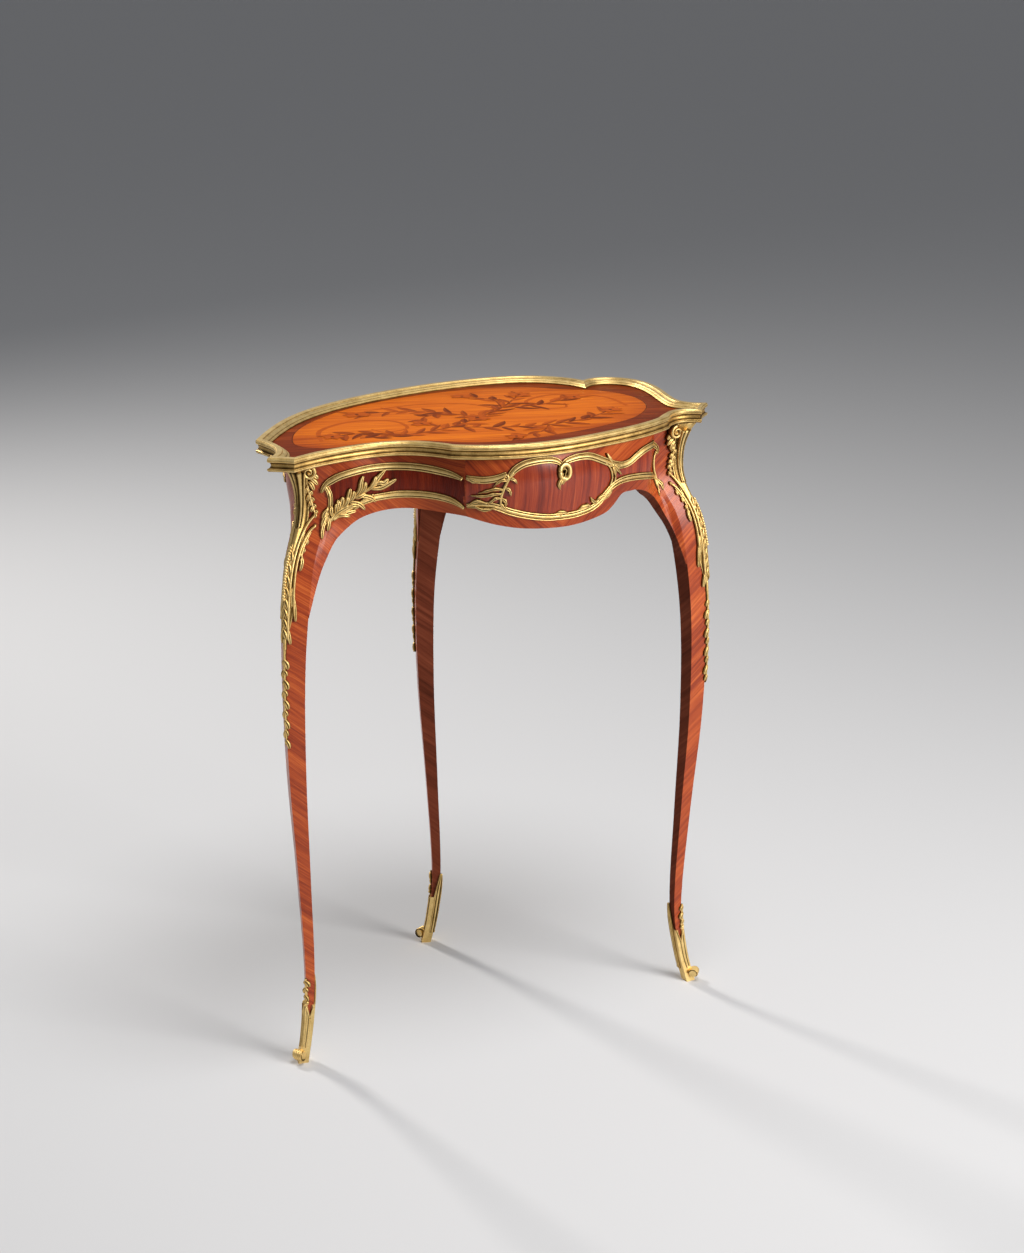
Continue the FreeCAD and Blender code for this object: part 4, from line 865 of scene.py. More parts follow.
SPRAY_BUDS = [
    [(9, 64), (10, 57), (10.5, 51)],
    [(15, 60), (13, 53), (12, 47)],
    [(17, 58), (22, 51), (23, 44)],
    [(24, 52), (29, 45), (30, 38)],
    [(22, 57), (29, 55), (35, 56)],
    [(31, 47), (38, 45), (44, 42)],
    [(38, 43), (43, 35), (44, 29)],
    [(48, 38), (54, 31), (57, 24)],
    [(5, 67), (4, 60), (5, 54)],
    [(12, 66), (20, 66), (26, 68)]]

# Front: bands, knot at the keyhole, leafy sides of the oval.
UPPER_LEFT = [
    (0.8, 23, 2.2), (10, 25, 3.3), (22, 25.7, 3.5), (34, 24, 3.4), (41, 21.5, 3), (45.5, 19.5, 2.4)]
UPPER_LEFT_RISE = [
    (47.5, 25.5, 1.6), (50, 20, 2.8), (56, 14.2, 3.4), (66, 9.6, 3.6), (80, 7.6, 3.6), (95, 7.8, 3.4),
    (105, 10.2, 3), (111, 14.5, 2.2)]
UPPER_LEFT_EYE = (43.5, 23.6)
KNOT = [
    (108.6, 23), (110, 17.4), (115, 14.8), (120, 17.4), (121.4, 23), (120.2, 29), (115, 31.8), (109.8, 29)]
KNOT_LEAVES = [
    [(113.5, 29), (109.5, 33), (107.5, 38), (109.5, 43.5)],
    [(115, 29.5), (112.5, 34), (112.5, 38)]]
UPPER_RIGHT = [
    (110.2, 21.5, 1.6), (112.5, 15.5, 2.4), (118, 12, 3), (127, 10.2, 3.4), (138, 9.6, 3.6), (151, 11, 3.6),
    (163, 15.3, 3.6), (178, 22, 3.6), (192, 27.5, 3.6), (205, 30.6, 3.6), (218, 29.5, 3.6),
    (232, 23.7, 3.6), (246, 19, 3.6), (262, 17.6, 3.6), (280, 20.5, 3.6), (294, 25.5, 3.2), (301, 30, 2.6),
    (302, 35, 2), (298, 36, 1.3)]
CREST_LEAVES = [
    [(187, 25.5), (182, 18.5), (178, 12)],
    [(186, 26), (194, 33), (203, 41)],
    [(190, 27), (198, 31.5), (207, 34)],
    [(187, 29), (190, 35), (192.5, 42)]]
LINK = [(299, 34, 1.3), (296, 42, 1.4), (296, 54, 1.4), (298, 64, 1.6), (301, 72, 1.6)]
LINK_LEAVES = [
    [(299, 66), (303, 76), (307, 88)],
    [(298, 66), (297, 76), (300, 85)],
    [(300, 68), (308, 74), (311, 82)]]
LOWER = [
    (300, 69, 1.6), (292, 64, 2.6), (282, 60.3, 3.5), (268, 56.3, 3.6), (252, 52.3, 3.6), (233, 49.7, 3.6),
    (214, 48.6, 3.6), (199, 50, 3.6), (188, 54.2, 3.6), (179, 61.5, 3.6), (171, 69, 3.6), (158, 74.5, 3.6),
    (135, 77.4, 3.6), (110, 76.8, 3.6), (92, 75, 3.6), (70, 70.2, 3.6), (50, 64, 3.6), (38, 58.8, 3.4),
    (28, 55.8, 3.4), (14, 55, 3.4), (0.8, 56.2, 2)]
SIDE_RIGHT = [
    [(176, 23, 1), (184.5, 31.5, 1.2), (188, 43, 1.3), (184.5, 53, 1)],
    [(180, 23.5, 1), (189.5, 32, 1.2), (193.5, 43.5, 1.3), (189.5, 54.5, 1)]]
SIDE_RIGHT_LEAVES = [
    [(190.5, 51), (184, 60), (174, 67.5), (161, 73.5)],
    [(189, 53), (186, 62), (178, 68)],
    [(180, 61), (172, 63), (165, 67)],
    [(168, 70), (160, 66), (155, 60)],
    [(160, 73), (151, 70), (144, 70.5), (138, 74)]]
LOWER_BUDS = [[(124, 76.5), (118, 72.5), (109, 71.5)], [(118, 77), (110, 74), (102, 75)]]
SIDE_LEFT = [(53, 18, 1.4), (47, 26, 1.9), (42, 36, 2.1), (39, 46, 2), (39, 57, 1.3)]
SIDE_LEFT_LEAVES = [
    [(47, 24), (53, 26), (57, 31)],
    [(46, 28), (41, 26), (36, 28), (31, 33)],
    [(43, 35), (48, 38), (50, 45)],
    [(42, 37), (33, 36), (24, 38), (14, 41)],
    [(40, 42), (31, 42), (20, 44), (6, 43.5)],
    [(39, 47), (33, 47), (28, 51), (24, 55)],
    [(39, 47), (44, 51), (44, 58)],
    [(38, 52), (41, 57), (46, 62)]]
CORNER_LEAVES = [
    [(2, 57), (8, 52), (16, 50), (24, 53)],
    [(10, 56), (18, 60), (26, 60), (34, 57)],
    [(2, 23), (9, 27), (17, 28)]]
# Frames of the right, back and left walls: distance along the wall and drop.
FRAMES = {
    "right": (right_chart, [(62, 34), (90, 15), (120, 14), (146, 36), (120, 58), (90, 52)]),
    "back": (back_chart, [(42, 36), (68, 22), (108, 22), (142, 36), (108, 56), (68, 56)]),
    "left": (left_chart, [(60, 36), (110, 15), (190, 15), (262, 36), (190, 56), (110, 54)]),
}
# Places at the ends of such a frame, and which way they point along the wall.
FRAME_ENDS = [(0, -1), (3, 1)]
# Leaves at each end: steps outwards and down, and height.
FRAME_LEAVES = [
    ([(0, 0), (7, -5), (16, -7)], 3),
    ([(0, 0), (7, 5), (16, 8)], 3),
    ([(-2, 0), (8, 0), (19, 1)], 3.4)]
FRAME_HALF, KNOT_HALF = 3.1, 3.2
# How much wider the bands of the scoop and the front are than their stations say.
FRAME_SPREAD = 1.2


def spread(stations):
    return [(u, v, half * FRAME_SPREAD) for u, v, half in stations]


def scoop_mounts():
    """Frame of the scoop, its leafy side and the spray in its corner."""
    cast = Casting(scoop_chart)
    cast.band(spread(SCOOP_TOP))
    cast.band(spread(SCOOP_SIDE), height=2.8)
    cast.leaves(SCOOP_SIDE_LEAVES, width=5.4, height=3.2, base=0.4, blunt=True)
    cast.gild("scoop_frame_upper_cast", "scoop_frame_top")
    cast = Casting(scoop_chart)
    cast.band(spread(SCOOP_BOTTOM))
    cast.gild("scoop_frame_lower_cast", "scoop_frame_bottom")
    cast = Casting(scoop_chart)
    for path in SPRAY_STEMS:
        cast.band(path, height=3, section=ROUND)
    cast.leaves(SPRAY_LEAVES, width=6.4, height=3.4, base=0.6, curl=1.2, blunt=True)
    cast.leaves(SPRAY_BUDS, width=5.6, height=3.8, base=1, curl=0.8, blunt=True)
    cast.gild("scoop_spray_cast", "scoop_spray")


def front_bands():
    """Bands of the cartouche and the knot round the keyhole."""
    cast = Casting(front_chart)
    cast.band(spread(UPPER_LEFT))
    cast.band(spread(UPPER_LEFT_RISE))
    cast.volute(*UPPER_LEFT_EYE, radius=3.6, turns=1.1, start=-math.pi / 3, half=1.7, height=3.6)
    cast.gild("cartouche_upper_left_cast", "cartouche_upper_left")
    cast = Casting(front_chart)
    cast.band([(u, v, KNOT_HALF) for u, v in KNOT], height=4.6, section=ROUND, closed=True)
    cast.leaves(KNOT_LEAVES, width=6, height=3.6, base=0.4)
    cast.gild("keyhole_knot", "keyhole_loop")
    cast = Casting(front_chart)
    cast.band(spread(UPPER_RIGHT))
    cast.gild("cartouche_upper_right_cast", "cartouche_upper_right")
    cast = Casting(front_chart)
    cast.band(spread(LOWER))
    cast.band(LINK, height=2.6, section=ROUND)
    cast.leaves(LINK_LEAVES, width=5, height=2.8)
    cast.leaves(LOWER_BUDS, width=5, height=3, base=0.4, blunt=True)
    cast.gild("cartouche_lower_cast", "cartouche_lower")


def front_leaves():
    """Leafy sides of the oval, and the leaves on the crest and in the corners."""
    cast = Casting(front_chart)
    for path in SIDE_RIGHT:
        cast.band(path, height=2.6, section=ROUND)
    cast.leaves(SIDE_RIGHT_LEAVES, width=6.4, height=3.2, base=0.4, lobes=3)
    cast.gild("cartouche_side_right_cast", "cartouche_side_right")
    cast = Casting(front_chart)
    cast.band(SIDE_LEFT, height=3, section=ROUND)
    cast.leaves(SIDE_LEFT_LEAVES, width=5.4, height=3.4, base=0.5, curl=0.8, lobes=3)
    cast.gild("cartouche_side_left_cast", "cartouche_side_left")
    cast = Casting(front_chart)
    cast.leaves(CREST_LEAVES + CORNER_LEAVES, width=5.6, height=3.4, base=0.8, curl=0.8, lobes=2)
    cast.gild("cartouche_leaves_cast", "cartouche_leaves")


def wall_frame(side, chart, path):
    """Closed frame with three leaves at either end."""
    cast = Casting(chart)
    cast.band([(u, v, FRAME_HALF) for u, v in path], closed=True)
    for index, turn in FRAME_ENDS:
        u, v = path[index]
        for steps, height in FRAME_LEAVES:
            cast.leaf([(u + turn * out, v + down) for out, down in steps], width=6, height=height)
    cast.gild(f"frame_{side}_cast", f"frame_{side}")


scoop_mounts()
front_bands()
front_leaves()
for side, (chart, path) in FRAMES.items():
    wall_frame(side, chart, path)


def middle_of(stations):
    return [(u, v) for u, v, half in stations]


# Dark veneer inside the frames: upper and lower edge of each panel.
SCOOP_FIELD = (
    [(1, 33), (8, 24), (20, 19.5), *middle_of(SCOOP_TOP[4:9]), (165.4, 26)],
    [(2, 62), (12, 62), (24, 60), (38, 55), *middle_of(SCOOP_BOTTOM[2:8]), (165.4, 60)])
FRONT_FIELD = (
    [(0.3, 22.5), (10, 24.5), (22, 25.2), (34, 24), (44, 19.5), (54, 13.5), (66, 9), (80, 7), (96, 7),
     (110, 11), (121, 13), *middle_of(UPPER_RIGHT[4:15]), (297, 30)],
    [(0.3, 56.2), *middle_of(LOWER[-2:1:-1]), (297, 66)])
PANEL_LIFT, PANEL_STEP, PANEL_ROWS = 0.25, 3, 16
RING_STEP, RINGS = 4, 12
EDGE_FINENESS, NEAR = 1, 1e-6
# Middle of the keyhole along the wall, its drop, and the radius left open round it.
KEYHOLE = (115, 23, 6.5)


def drop_at(edge, u):
    """Drop of a panel's edge at a distance along the wall."""
    after = next(index for index, place in enumerate(edge) if place[0] >= u - NEAR)
    if not after:
        return edge[0][1]
    (start, first), (end, last) = edge[after - 1:after + 1]
    return first + (last - first) * ((u - start) / (end - start))


def field_panel(name, chart, material, upper, lower, hole=None):
    """Thin sheet between an upper and a lower edge; faces around the hole are left out."""
    edges = [smooth_path(edge, EDGE_FINENESS) for edge in (upper, lower)]
    start = max(edge[0][0] for edge in edges)
    end = min(edge[-1][0] for edge in edges)
    count = round((end - start) / PANEL_STEP)
    rows = []
    for index in range(count + 1):
        u = start + (end - start) * index / count
        top, bottom = [drop_at(edge, u) for edge in edges]
        drops = [top + (bottom - top) * step / PANEL_ROWS for step in range(PANEL_ROWS + 1)]
        rows.append([(u, drop, PANEL_LIFT, 0) for drop in drops])
    panel = Casting(chart)
    panel.skin(rows)
    if hole:
        u, v, radius = hole
        middle = chart.place(u, v, 0)
        kept = []
        for face in panel.faces:
            centre = sum((panel.points[index] for index in face), Vector()) / 4
            if (centre - middle).length > radius * MM:
                kept.append(face)
        panel.faces = kept
    panel.make(name, "case", "case_veneer", material)


field_panel("scoop_panel", scoop_chart, scoop_shaded_veneer, *SCOOP_FIELD)
field_panel("front_panel", front_chart, panel_veneer, *FRONT_FIELD, KEYHOLE)
for side, (chart, path) in FRAMES.items():
    x, y = [sum(place[axis] for place in path) / len(path) for axis in (0, 1)]
    edge = smooth_path(path, RING_STEP, True)
    rows = []
    for ring in range(RINGS + 1):
        share = ring / RINGS
        rows.append([(x + (u - x) * share, y + (v - y) * share, PANEL_LIFT, 0) for u, v in edge])
    panel = Casting(chart)
    panel.skin(rows)
    panel.make(f"panel_{side}", "case", "case_veneer", panel_veneer)

# Veneer carried over the joints between legs and walls: leg, side of its arris and wall.
JOINTS = [
    ("left", 1, "apron_scoop"), ("left", -1, "apron_left"), ("right", -1, "apron_front"),
    ("right", 1, "apron_right"), ("back", -1, "apron_back")]
# Across from the arris, where the search for the step starts, how far it goes, and by what steps.
JOINT_START, JOINT_LENGTH, JOINT_STEP = 20, 18, 0.5
JOINT_DROPS = range(8, 174, 3)
# Start and length of a probe, and the least and the most that a wall lies below the leg's face.
JOINT_PROBE, JOINT_REACH, JOINT_SHALLOWEST, JOINT_DEEPEST = 20, 30, -0.05, -4
# How far the sheet starts before the step and runs past it, its lift, and its parts.
JOINT_LEAD, JOINT_OVERLAP, JOINT_LIFT, JOINT_PARTS = 1, 6.5, 0.1, 4


def joint_veneer(side, turn, wall):
    """Thin sheet that eases the step where a wall runs onto a leg's face."""
    chart = leg_charts[side]
    tree = tree_of(f"leg_{side}", wall)
    out = (chart.out + chart.side * turn).normalized()
    rows = []
    for drop in JOINT_DROPS:
        marks = []
        for index in range(round(JOINT_LENGTH / JOINT_STEP)):
            across = JOINT_START + index * JOINT_STEP
            base = chart.place(across * turn, drop, 0)
            hit = tree.ray_cast(base + out * JOINT_PROBE * MM, -out, JOINT_REACH * MM)[0]
            marks.append((across, JOINT_DEEPEST * 2 if hit is None else (hit - base).dot(out) / MM))
        edge = next((across for across, lift in marks if lift < JOINT_SHALLOWEST), None)
        if edge is None:
            continue
        beyond = [mark for mark in marks if edge < mark[0] < edge + JOINT_OVERLAP and mark[1] > JOINT_DEEPEST]
        if not beyond:
            continue
        start = edge - JOINT_STEP
        far, fall = beyond[-1]
        row = [((start - JOINT_LEAD) * turn, drop, JOINT_LIFT / 2, 0)]
        for step in range(JOINT_PARTS + 1):
            share = step / JOINT_PARTS
            row.append(((start + (far - start) * share) * turn, drop, fall * share + JOINT_LIFT, 0))
        rows.append(sorted(row, reverse=True))
    sheet = Casting(chart)
    sheet.skin(rows)
    sheet.make(f"joint_{side}_{wall}", "case", "case_veneer", leg_veneers[f"leg_{side}"])


for joint in JOINTS:
    joint_veneer(*joint)

# Chutes: a plate over the arris, a fluted spine, scrolls, rails and leaves on both faces, a chain of buds.
# Crest stations: drop, half width on each face and height at the arris as a share of the chute's full crest.
CREST = [
    (2, 9, 1.0), (14, 8.4, 0.62), (30, 8.4, 0.36), (48, 9.4, 0.27), (66, 9.8, 0.22), (84, 9.2, 0.18),
    (110, 8.8, 0.16), (140, 9, 0.15), (165, 9.4, 0.14), (178, 7.5, 0.13), (190, 5, 0.12), (199, 3.6, 0.1)]
FULL_CREST = {"left": 20, "right": 20, "back": 14}
# First and last drop of the spine, its half width, what it loses of it going down, its rise and its sink.
SPINE_START, SPINE_END = 10, 76
SPINE_HALF, SPINE_TAPER, SPINE_RISE, SPINE_SINK = 5, 0.02, 2, 1
EAR_STRAP = [(11, 2, 2), (13.5, 8, 2.4), (13, 14, 2.2), (10.5, 20, 1.6)]
NECK_LEAVES = [
    [(10, 19), (14, 22), (19.5, 28)],
    [(8.5, 23), (12, 27), (15, 34)],
    [(10, 16), (16, 17), (20, 21)]]
NECK_SPRIG = [(7.5, 28, 1.4), (9, 37, 2), (11, 46, 2), (13.5, 54, 1.6), (16, 61, 1)]
RAILS = [
    [(15.5, 64, 1.6), (11.5, 68.5, 2.3), (7.4, 77, 2.3), (4.8, 90, 2), (3.8, 110, 1.9), (3.6, 130, 1.8),
     (3.4, 160, 1.7), (3.2, 186, 1.7), (3.6, 199, 1.2)],
    [(18.5, 75, 1.5), (14.4, 79, 2.1), (10.8, 87.5, 2.1), (8.6, 100, 1.9), (7.8, 120, 1.8), (8, 140, 1.8),
     (9, 160, 1.8), (10.8, 178, 0.6)]]
RAIL_SPRIG = [(15.6, 81, 1), (13, 90, 1.3), (11.4, 99, 1.3), (12, 108, 1)]
RAIL_LEAVES = [
    [(12, 106), (13.6, 113), (12.8, 122)],
    [(8.6, 150), (10, 163), (11.6, 179)],
    [(3.4, 187), (4.6, 196), (6.2, 205)],
    [(5.6, 140), (6.6, 150), (6.6, 162)]]
ARRIS_LEAVES = [92, 105, 118, 131, 144, 156, 168, 180]
CHAIN_LEAD, CHAIN_START, CHAIN_END, CHAIN_STEP, CHAIN_HALF = 24, 222, 318, 12, 2.4
CREST_STEP = 2.5
EAR_EYE = (9, 12.5)
# Leaf on the arris: steps across and down; on one face they start lower than on the other.
ARRIS_LEAF = [(0, 0), (1.2, 6), (2.2, 12)]
ARRIS_STAGGER = 6


def on_face(turn, path):
    """A path on the left (1) or the right (-1) face of a leg."""
    return [(across * turn, *rest) for across, *rest in path]


def chute(side):
    """Leafy mount over a leg's arris."""
    chart = leg_charts[side]
    cast = Casting(chart)
    full = FULL_CREST[side]
    crest = [(drop, half, share * full) for drop, half, share in smooth_path(CREST, CREST_STEP)]
    cast.sweep([(0, drop, half, height, 0) for drop, half, height in crest], PLATE)
    spine = []
    for drop, half, height in crest:
        if SPINE_START <= drop <= SPINE_END:
            spine.append((0, drop, SPINE_HALF - SPINE_TAPER * drop, SPINE_RISE, height - SPINE_SINK))
    cast.sweep(spine, FLUTED)
    for turn in (1, -1):
        cast.band(on_face(turn, EAR_STRAP), height=4.6, section=ROUND, base=2)
        u, v = EAR_EYE
        eye = {"radius": 8, "turns": 1.6, "start": -math.pi / 2, "half": 2.8, "height": 5, "base": 4.6}
        cast.volute(u * turn, v, hand=turn, **eye)
        paths = [on_face(turn, path) for path in NECK_LEAVES]
        cast.leaves(paths, width=6, height=3.4, base=2, curl=1.4, blunt=True)
        cast.sprig(on_face(turn, NECK_SPRIG), count=8, length=7.4, width=4.8, height=3.6, base=1.2)
        for path in RAILS:
            rail = on_face(turn, path)
            cast.band(rail, height=3.8, section=ROUND)
            cast.bead(*rail[0][:2], radius=2.5, height=4)
        cast.sprig(on_face(turn, RAIL_SPRIG), count=5, length=6, width=3.8, height=3, base=0.5)
        paths = [on_face(turn, path) for path in RAIL_LEAVES]
        cast.leaves(paths, width=5.2, height=3.2, base=0.5, curl=0.6, blunt=True)
        for drop in ARRIS_LEAVES:
            start = drop + ARRIS_STAGGER * (turn > 0)
            path = on_face(turn, [(across, start + down) for across, down in ARRIS_LEAF])
            cast.leaf(path, width=3.4, height=2.4, base=2.2, curl=0.5, blunt=True)
    bud_chain(cast, CHAIN_START - CHAIN_LEAD, CHAIN_START, CHAIN_HALF, CHAIN_END, CHAIN_STEP)
    cast.gild(f"chute_{side}_cast", f"chute_{side}")


# Large and small bud of a chain: steps across, at full size, and shares of the chain's step down.
BUD = [(0, 0), (2.6, 0.5), (3.4, 1)]
SMALL_BUD = [(0, 0), (-1.8, 0.4), (-2.4, 0.7)]
# How much smaller the last bud is, and the stem's half width at its neck and at its end, in shares.
BUD_LOSS, STEM_NECK, STEM_END = 0.3, 0.7, 0.4


def bud_chain(cast, top, neck, half, end, step):
    """Stem down the arris that thins below its neck, with buds to either side."""
    middle = (top + neck) / 2
    stem = [(0, top, half), (0, middle, half), (0, neck, half * STEM_NECK), (0, end, half * STEM_END)]
    cast.band(stem, height=2.6, section=ROUND)
    count = round((end - neck) / step)
    for index in range(count + 1):
        drop = neck + index * step
        turn = 1 - 2 * (index % 2)
        size = 1 - BUD_LOSS * index / count
        path = [(across * turn * size, drop + step * share) for across, share in BUD]
        cast.leaf(path, width=5.2 * size, height=3.4, base=0.6, curl=0.5, blunt=True)
        path = [(across * turn * size, drop + step * share) for across, share in SMALL_BUD]
        cast.leaf(path, width=3.6 * size, height=2.8, base=0.6, blunt=True)


for side in FEET:
    chute(side)

# Sabots: rails along the notches, ridges down the faces, a chain up the arris and a tall fluted leaf inside.
# Heights above the floor; the leaf's stations are height, half width and base.
NOTCH_RAILS = [
    [(1.2, 69, 0.9), (3.2, 61.5, 1), (5.2, 53.5, 0.8)],
    [(9.4, 69, 0.8), (7.4, 61.5, 0.9), (5.4, 53.5, 0.8)],
    [(5.3, 53, 1.1), (5, 40, 1.2), (4.6, 28, 1.1), (4.2, 18, 0.7)],
    [(1, 68, 0.9), (1.3, 44, 1), (1.3, 20, 0.8)]]
INNER_LEAF = [
    (16, 4.4, 1.6), (40, 5, 1.7), (66, 5.4, 1.7), (82, 4.8, 1.7), (93, 3.2, 1.6), (100, 1.7, 1.4),
    (104, 0.4, 1)]
INNER_LEAF_STEP, INNER_LEAF_RISE = 2.5, 1.8
# Chain up the arris: height of its top and of its end, step, lead and half width.
CHAIN_TOP, CHAIN_FOOT, FOOT_STEP, FOOT_LEAD, FOOT_HALF = 102, 74, 9, 2, 1.4
# How far the beads at its end stand from the arris.
BEAD_SET = 2
# Ribs wound round the toe: height and reach of its middle, and radius; then the ribs' number, spacing, slant
# and furthest place along the roll, and the angles that they pass.
TOE_HEIGHT, TOE_REACH, TOE_RADIUS = 11, 6.1, 4.7
TOE_RIBS, TOE_SPACING, TOE_SLANT, TOE_HALF = 5, 2.7, 10, 5.6
TOE_TURN = [170, 115, 60, 5, -50, -105]
RIB_HALF, RIB_RISE = 1.7, 1.8
# Degrees to one unit of the toe's chart, which makes its units about as long both ways.
TOE_UNIT = 10


class ToeChart:
    """Places round a foot's rolled toe by units up from its front, distance along the roll and lift."""

    HAND = 1

    def __init__(self, chart):
        self.out = chart.out
        self.side = chart.side
        reach = chart.arris_set(CASE_TOP - TOE_HEIGHT) + TOE_REACH
        self.middle = chart.foot + chart.out * reach + UP * TOE_HEIGHT

    def place(self, units, along, lift):
        turn = math.radians(units * TOE_UNIT)
        spoke = self.out * math.cos(turn) + UP * math.sin(turn)
        return (self.middle + spoke * (TOE_RADIUS + lift) + self.side * along) * MM


def sabot_trim(side, inner):
    """Ornament of a foot; inner is the chart of the leg's inner arris."""
    chart = leg_charts[side]
    cast = Casting(chart)
    for turn in (1, -1):
        for path in NOTCH_RAILS:
            rail = [(across * turn, CASE_TOP - height, half) for across, height, half in path]
            cast.band(rail, height=1.4, section=ROUND, base=1.5)
    neck = CASE_TOP - CHAIN_TOP
    end = CASE_TOP - CHAIN_FOOT
    bud_chain(cast, neck - FOOT_LEAD, neck, FOOT_HALF, end - FOOT_STEP, FOOT_STEP)
    for turn in (1, -1):
        cast.bead(BEAD_SET * turn, end, radius=1.9, height=3, base=1)
    cast.gild(f"sabot_{side}_trim")
    cast = Casting(inner)
    rows = []
    for height, half, base in smooth_path(INNER_LEAF, INNER_LEAF_STEP):
        rows.append((0, CASE_TOP - height, half, INNER_LEAF_RISE, base))
    cast.sweep(rows[::-1], FLUTED)
    cast.gild(f"sabot_{side}_leaf")
    cast = Casting(ToeChart(chart))
    for rib in range(TOE_RIBS):
        start = (rib - (TOE_RIBS - 1) / 2) * TOE_SPACING - TOE_SLANT / 2
        path = []
        for index, angle in enumerate(TOE_TURN):
            along = start + TOE_SLANT * index / (len(TOE_TURN) - 1)
            path.append((angle / TOE_UNIT, max(-TOE_HALF, min(TOE_HALF, along)), RIB_HALF))
        cast.band(path, height=RIB_RISE, section=ROUND)
    cast.gild(f"sabot_{side}_toe")


for side, foot in FEET.items():
    sabot_trim(side, LegChart(f"leg_{side}", foot, LEG_HEADINGS[f"leg_{side}"] + 180))

# Berries down each arris: first and last drop, radius and lift.
BERRY_RUNS = {"upper": (96, 152, 1.7, 4.6), "foot": (652, 662, 1.3, 1.4)}
BERRY_PITCH, BERRY_PLACES, BERRY_SEGMENTS, BERRY_RINGS = 1.9, 12, 10, 7


def make_berry_group():
    """Row of berries along a line."""
    tree, given, out = new_group(
        "berry_row", "Geometry",
        {"Line": "Geometry", "Berry Radius": "Float", "Spacing": "Float", "Berry Material": "Material"},
        {"Berries": "Geometry"})
    curve = node(tree, "GeometryNodeMeshToCurve", {"Mesh": given["Line"]}).outputs[0]
    spaced = {"Curve": curve, "Length": given["Spacing"]}
    even = node(tree, "GeometryNodeResampleCurve", spaced, mode="LENGTH").outputs[0]
    ball = {"Segments": BERRY_SEGMENTS, "Rings": BERRY_RINGS, "Radius": given["Berry Radius"]}
    berry = node(tree, "GeometryNodeMeshUVSphere", ball).outputs[0]
    placed = node(tree, "GeometryNodeInstanceOnPoints", {"Points": even, "Instance": berry}).outputs[0]
    real = node(tree, "GeometryNodeRealizeInstances", {0: placed}).outputs[0]
    smooth = node(tree, "GeometryNodeSetShadeSmooth", {"Geometry": real}).outputs[0]
    gilt = {"Geometry": smooth, "Material": given["Berry Material"]}
    dressed = node(tree, "GeometryNodeSetMaterial", gilt).outputs[0]
    feed(tree, out, {"Berries": dressed})
    return tree


berry_group = make_berry_group()


def berry_row(name, places, radius, spacing):
    """Berries along a line of places, as one piece."""
    mesh = bpy.data.meshes.new(name + "_line")
    mesh.from_pydata(places, [(index, index + 1) for index in range(len(places) - 1)], [])
    line = bpy.data.objects.new(name + "_line", mesh)
    bpy.context.scene.collection.objects.link(line)
    modifier = line.modifiers.new("berries", "NODES")
    modifier.node_group = berry_group
    values = {"Berry Radius": radius * MM, "Spacing": spacing * MM, "Berry Material": plain_bronze}
    for socket in berry_group.interface.items_tree:
        if socket.in_out == "INPUT" and socket.name in values:
            modifier[socket.identifier] = values[socket.name]
    graph = bpy.context.evaluated_depsgraph_get()
    made = bpy.data.meshes.new_from_object(line.evaluated_get(graph))
    bpy.data.objects.remove(line)
    item = bpy.data.objects.new(name, made)
    bpy.context.scene.collection.objects.link(item)
    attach(item, "case")


for side, chart in leg_charts.items():
    for run, (start, end, radius, lift) in BERRY_RUNS.items():
        drops = [start + (end - start) * index / BERRY_PLACES for index in range(BERRY_PLACES + 1)]
        places = [chart.place(0, drop, lift) for drop in drops]
        berry_row(f"berries_{run}_{side}", places, radius, radius * BERRY_PITCH)

# Marquetry: a scrolling plant of stained woods, its straps, stems, leaves and blossoms laid in the field.
FIELD_EDGE = [
    (-228, -37.7), (-196, 32.3), (-124, 96.3), (-54, 128.3), (14, 143.3), (88, 145.3), (140, 127.3),
    (176, 96.3), (212, 72.3), (234, 24.3), (225, -29.7), (187, -75.7), (138, -99.7), (92, -113.7),
    (12, -125.7), (-40, -115.7), (-92, -81.7), (-150, -67.7), (-202, -71.7)]
# Lift of one layer; leaves lie in layers that differ where they overlap, petals and eyes above them.
INLAY_LIFT = 0.01
LAYERS, FIRST_LEAF_LAYER, PETAL_LAYER, EYE_LAYER = 31, 3, 36, 44
STRIP_STEP, SPROUT_STEP, LEAF_ROWS, EDGE_STEP, EDGE_HALF = 3, 10, 10, 6, 0.5
PETALS, PETAL_WIDTH, EYE_SIDES, EYE_RINGS, EYE_SHARE = 6, 0.62, 10, 2, 0.14
# Leaves' turn off the stem, how far it sways, their bend, lengths and widths.
LEAF_TURN, LEAF_SWAY, LEAF_BEND = 0.7, 0.25, 0.35
LEAF_LENGTHS, LEAF_WIDTHS = (20, 36), (7, 11)
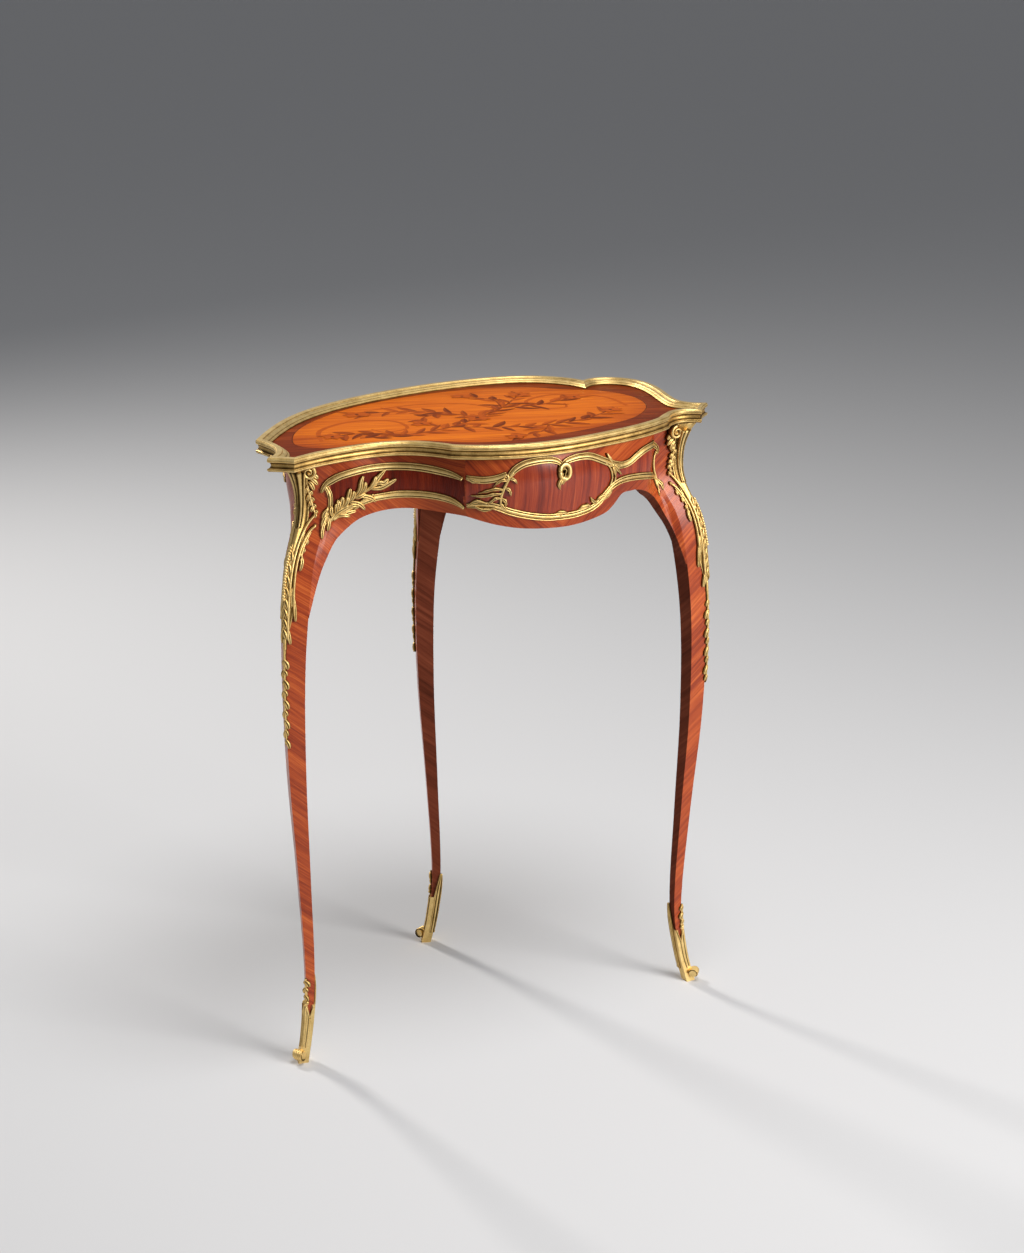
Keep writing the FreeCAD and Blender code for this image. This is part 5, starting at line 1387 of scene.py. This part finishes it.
# Tones of the woods, and how much lighter the second half of a leaf is.
RED, TAN, BROWN, UMBER, DARK = 0.1, 0.3, 0.55, 0.8, 0.95
HALF_SHADE = 0.25
STRAPS = [
    [(-196, -40, 2.2), (-178, 12, 3), (-128, 40, 3), (-84, 22, 2.6), (-82, -18, 2.2), (-112, -26, 1.8),
     (-122, -6, 1)],
    [(205, -18, 2.2), (200, 40, 3), (150, 74, 3), (104, 54, 2.6), (104, 14, 2.2), (132, 4, 1.8),
     (142, 26, 1)],
    [(-96, 84, 1.4), (-30, 92, 2.4), (30, 72, 2.4), (52, 30, 2), (30, 2, 1.4)]]
STEMS = [
    [(-150, -42, 1.8), (-92, -48, 2), (-34, -34, 2), (14, -2, 1.8), (62, 34, 1.6), (112, 92, 1)],
    [(-34, -34, 1.8), (20, -58, 1.8), (76, -70, 1.6), (132, -58, 1.4), (176, -30, 1)],
    [(14, -2, 1.6), (-12, 38, 1.6), (-58, 66, 1.4), (-110, 72, 1)],
    [(62, 34, 1.4), (70, 78, 1.4), (44, 112, 1)],
    [(-92, -48, 1.4), (-136, -22, 1.4), (-176, -22, 1)],
    [(76, -70, 1.4), (52, -98, 1.2), (16, -108, 1)],
    [(-12, 38, 1.4), (-44, 24, 1.2), (-58, -4, 1)],
    [(62, 34, 1.4), (108, 30, 1.2), (168, 52, 1)]]
BLOSSOMS = [
    (112, 92, 17), (176, -30, 16), (-110, 72, 18), (44, 112, 15), (-176, -22, 15), (16, -108, 14),
    (14, -2, 19), (-58, -4, 15), (168, 52, 14)]
inlay = Casting(TopChart())
seeded = random.Random(11)
layers = itertools.cycle(range(LAYERS))


def flat_strip(stations, tone):
    """Strip of one wood along stations of (u, v, half width)."""
    lift = INLAY_LIFT * (1 + next(layers) / LAYERS)
    path = smooth_path(stations, STRIP_STEP)
    rows = []
    for index, (u, v, half) in enumerate(path):
        du, dv = to_the_side(path, index)
        rows.append([(u + du * side * half, v + dv * side * half, lift, tone) for side in (-1, 0, 1)])
    inlay.skin(rows)


def flat_leaf(u, v, angle, length, width, tone, layer):
    """Leaf in two halves, one darker, bent a little to one side."""
    bend = seeded.uniform(-LEAF_BEND, LEAF_BEND)
    rows = []
    for index in range(LEAF_ROWS + 1):
        share = index / LEAF_ROWS
        turn = angle + bend * share
        reach = length * share
        half = width / 2 * math.sin(math.pi * share ** 0.8) ** 0.85 if 0 < share < 1 else 0
        du = math.cos(turn)
        dv = math.sin(turn)
        middle = (u + du * reach, v + dv * reach)
        rows.append([(middle[0] - dv * half * side, middle[1] + du * half * side) for side in (-1, 0, 1)])
    for first, shade in ((0, tone), (1, tone - HALF_SHADE)):
        inlay.skin([[(x, y, layer * INLAY_LIFT, shade) for x, y in row[first:first + 2]] for row in rows])


def blossom(u, v, radius):
    """Petals round a dark eye."""
    turn = seeded.uniform(0, 1)
    for petal in range(PETALS):
        angle = turn + petal * 2 * math.pi / PETALS
        flat_leaf(u, v, angle, radius, radius * PETAL_WIDTH, RED if petal % 2 else TAN, PETAL_LAYER + petal)
    rows = []
    for ring in range(EYE_RINGS + 1):
        places = circle(u, v, radius * EYE_SHARE * ring / EYE_RINGS, EYE_SIDES)
        rows.append([(*place, INLAY_LIFT * EYE_LAYER, DARK) for place in places])
    inlay.skin(rows)


for stations in STRAPS:
    flat_strip(stations, RED)
for stations in STEMS:
    flat_strip(stations, BROWN)
    path = smooth_path(stations, SPROUT_STEP)
    for index in range(1, len(path) - 1):
        u, v = path[index][:2]
        before = path[index - 1]
        after = path[index + 1]
        heading = math.atan2(after[1] - before[1], after[0] - before[0])
        heading += LEAF_TURN if index % 2 else -LEAF_TURN
        heading += seeded.uniform(-LEAF_SWAY, LEAF_SWAY)
        length = seeded.uniform(*LEAF_LENGTHS)
        width = seeded.uniform(*LEAF_WIDTHS)
        tone = seeded.choice((TAN, BROWN, BROWN, UMBER))
        flat_leaf(u, v, heading, length, width, tone, FIRST_LEAF_LAYER + next(layers))
for place in BLOSSOMS:
    blossom(*place)
flat_strip([(u, v, EDGE_HALF) for u, v in smooth_path(FIELD_EDGE, EDGE_STEP, True)], DARK)
inlay.make("marquetry_inlay", "lid", "field_veneer", inlay_wood("inlay"))
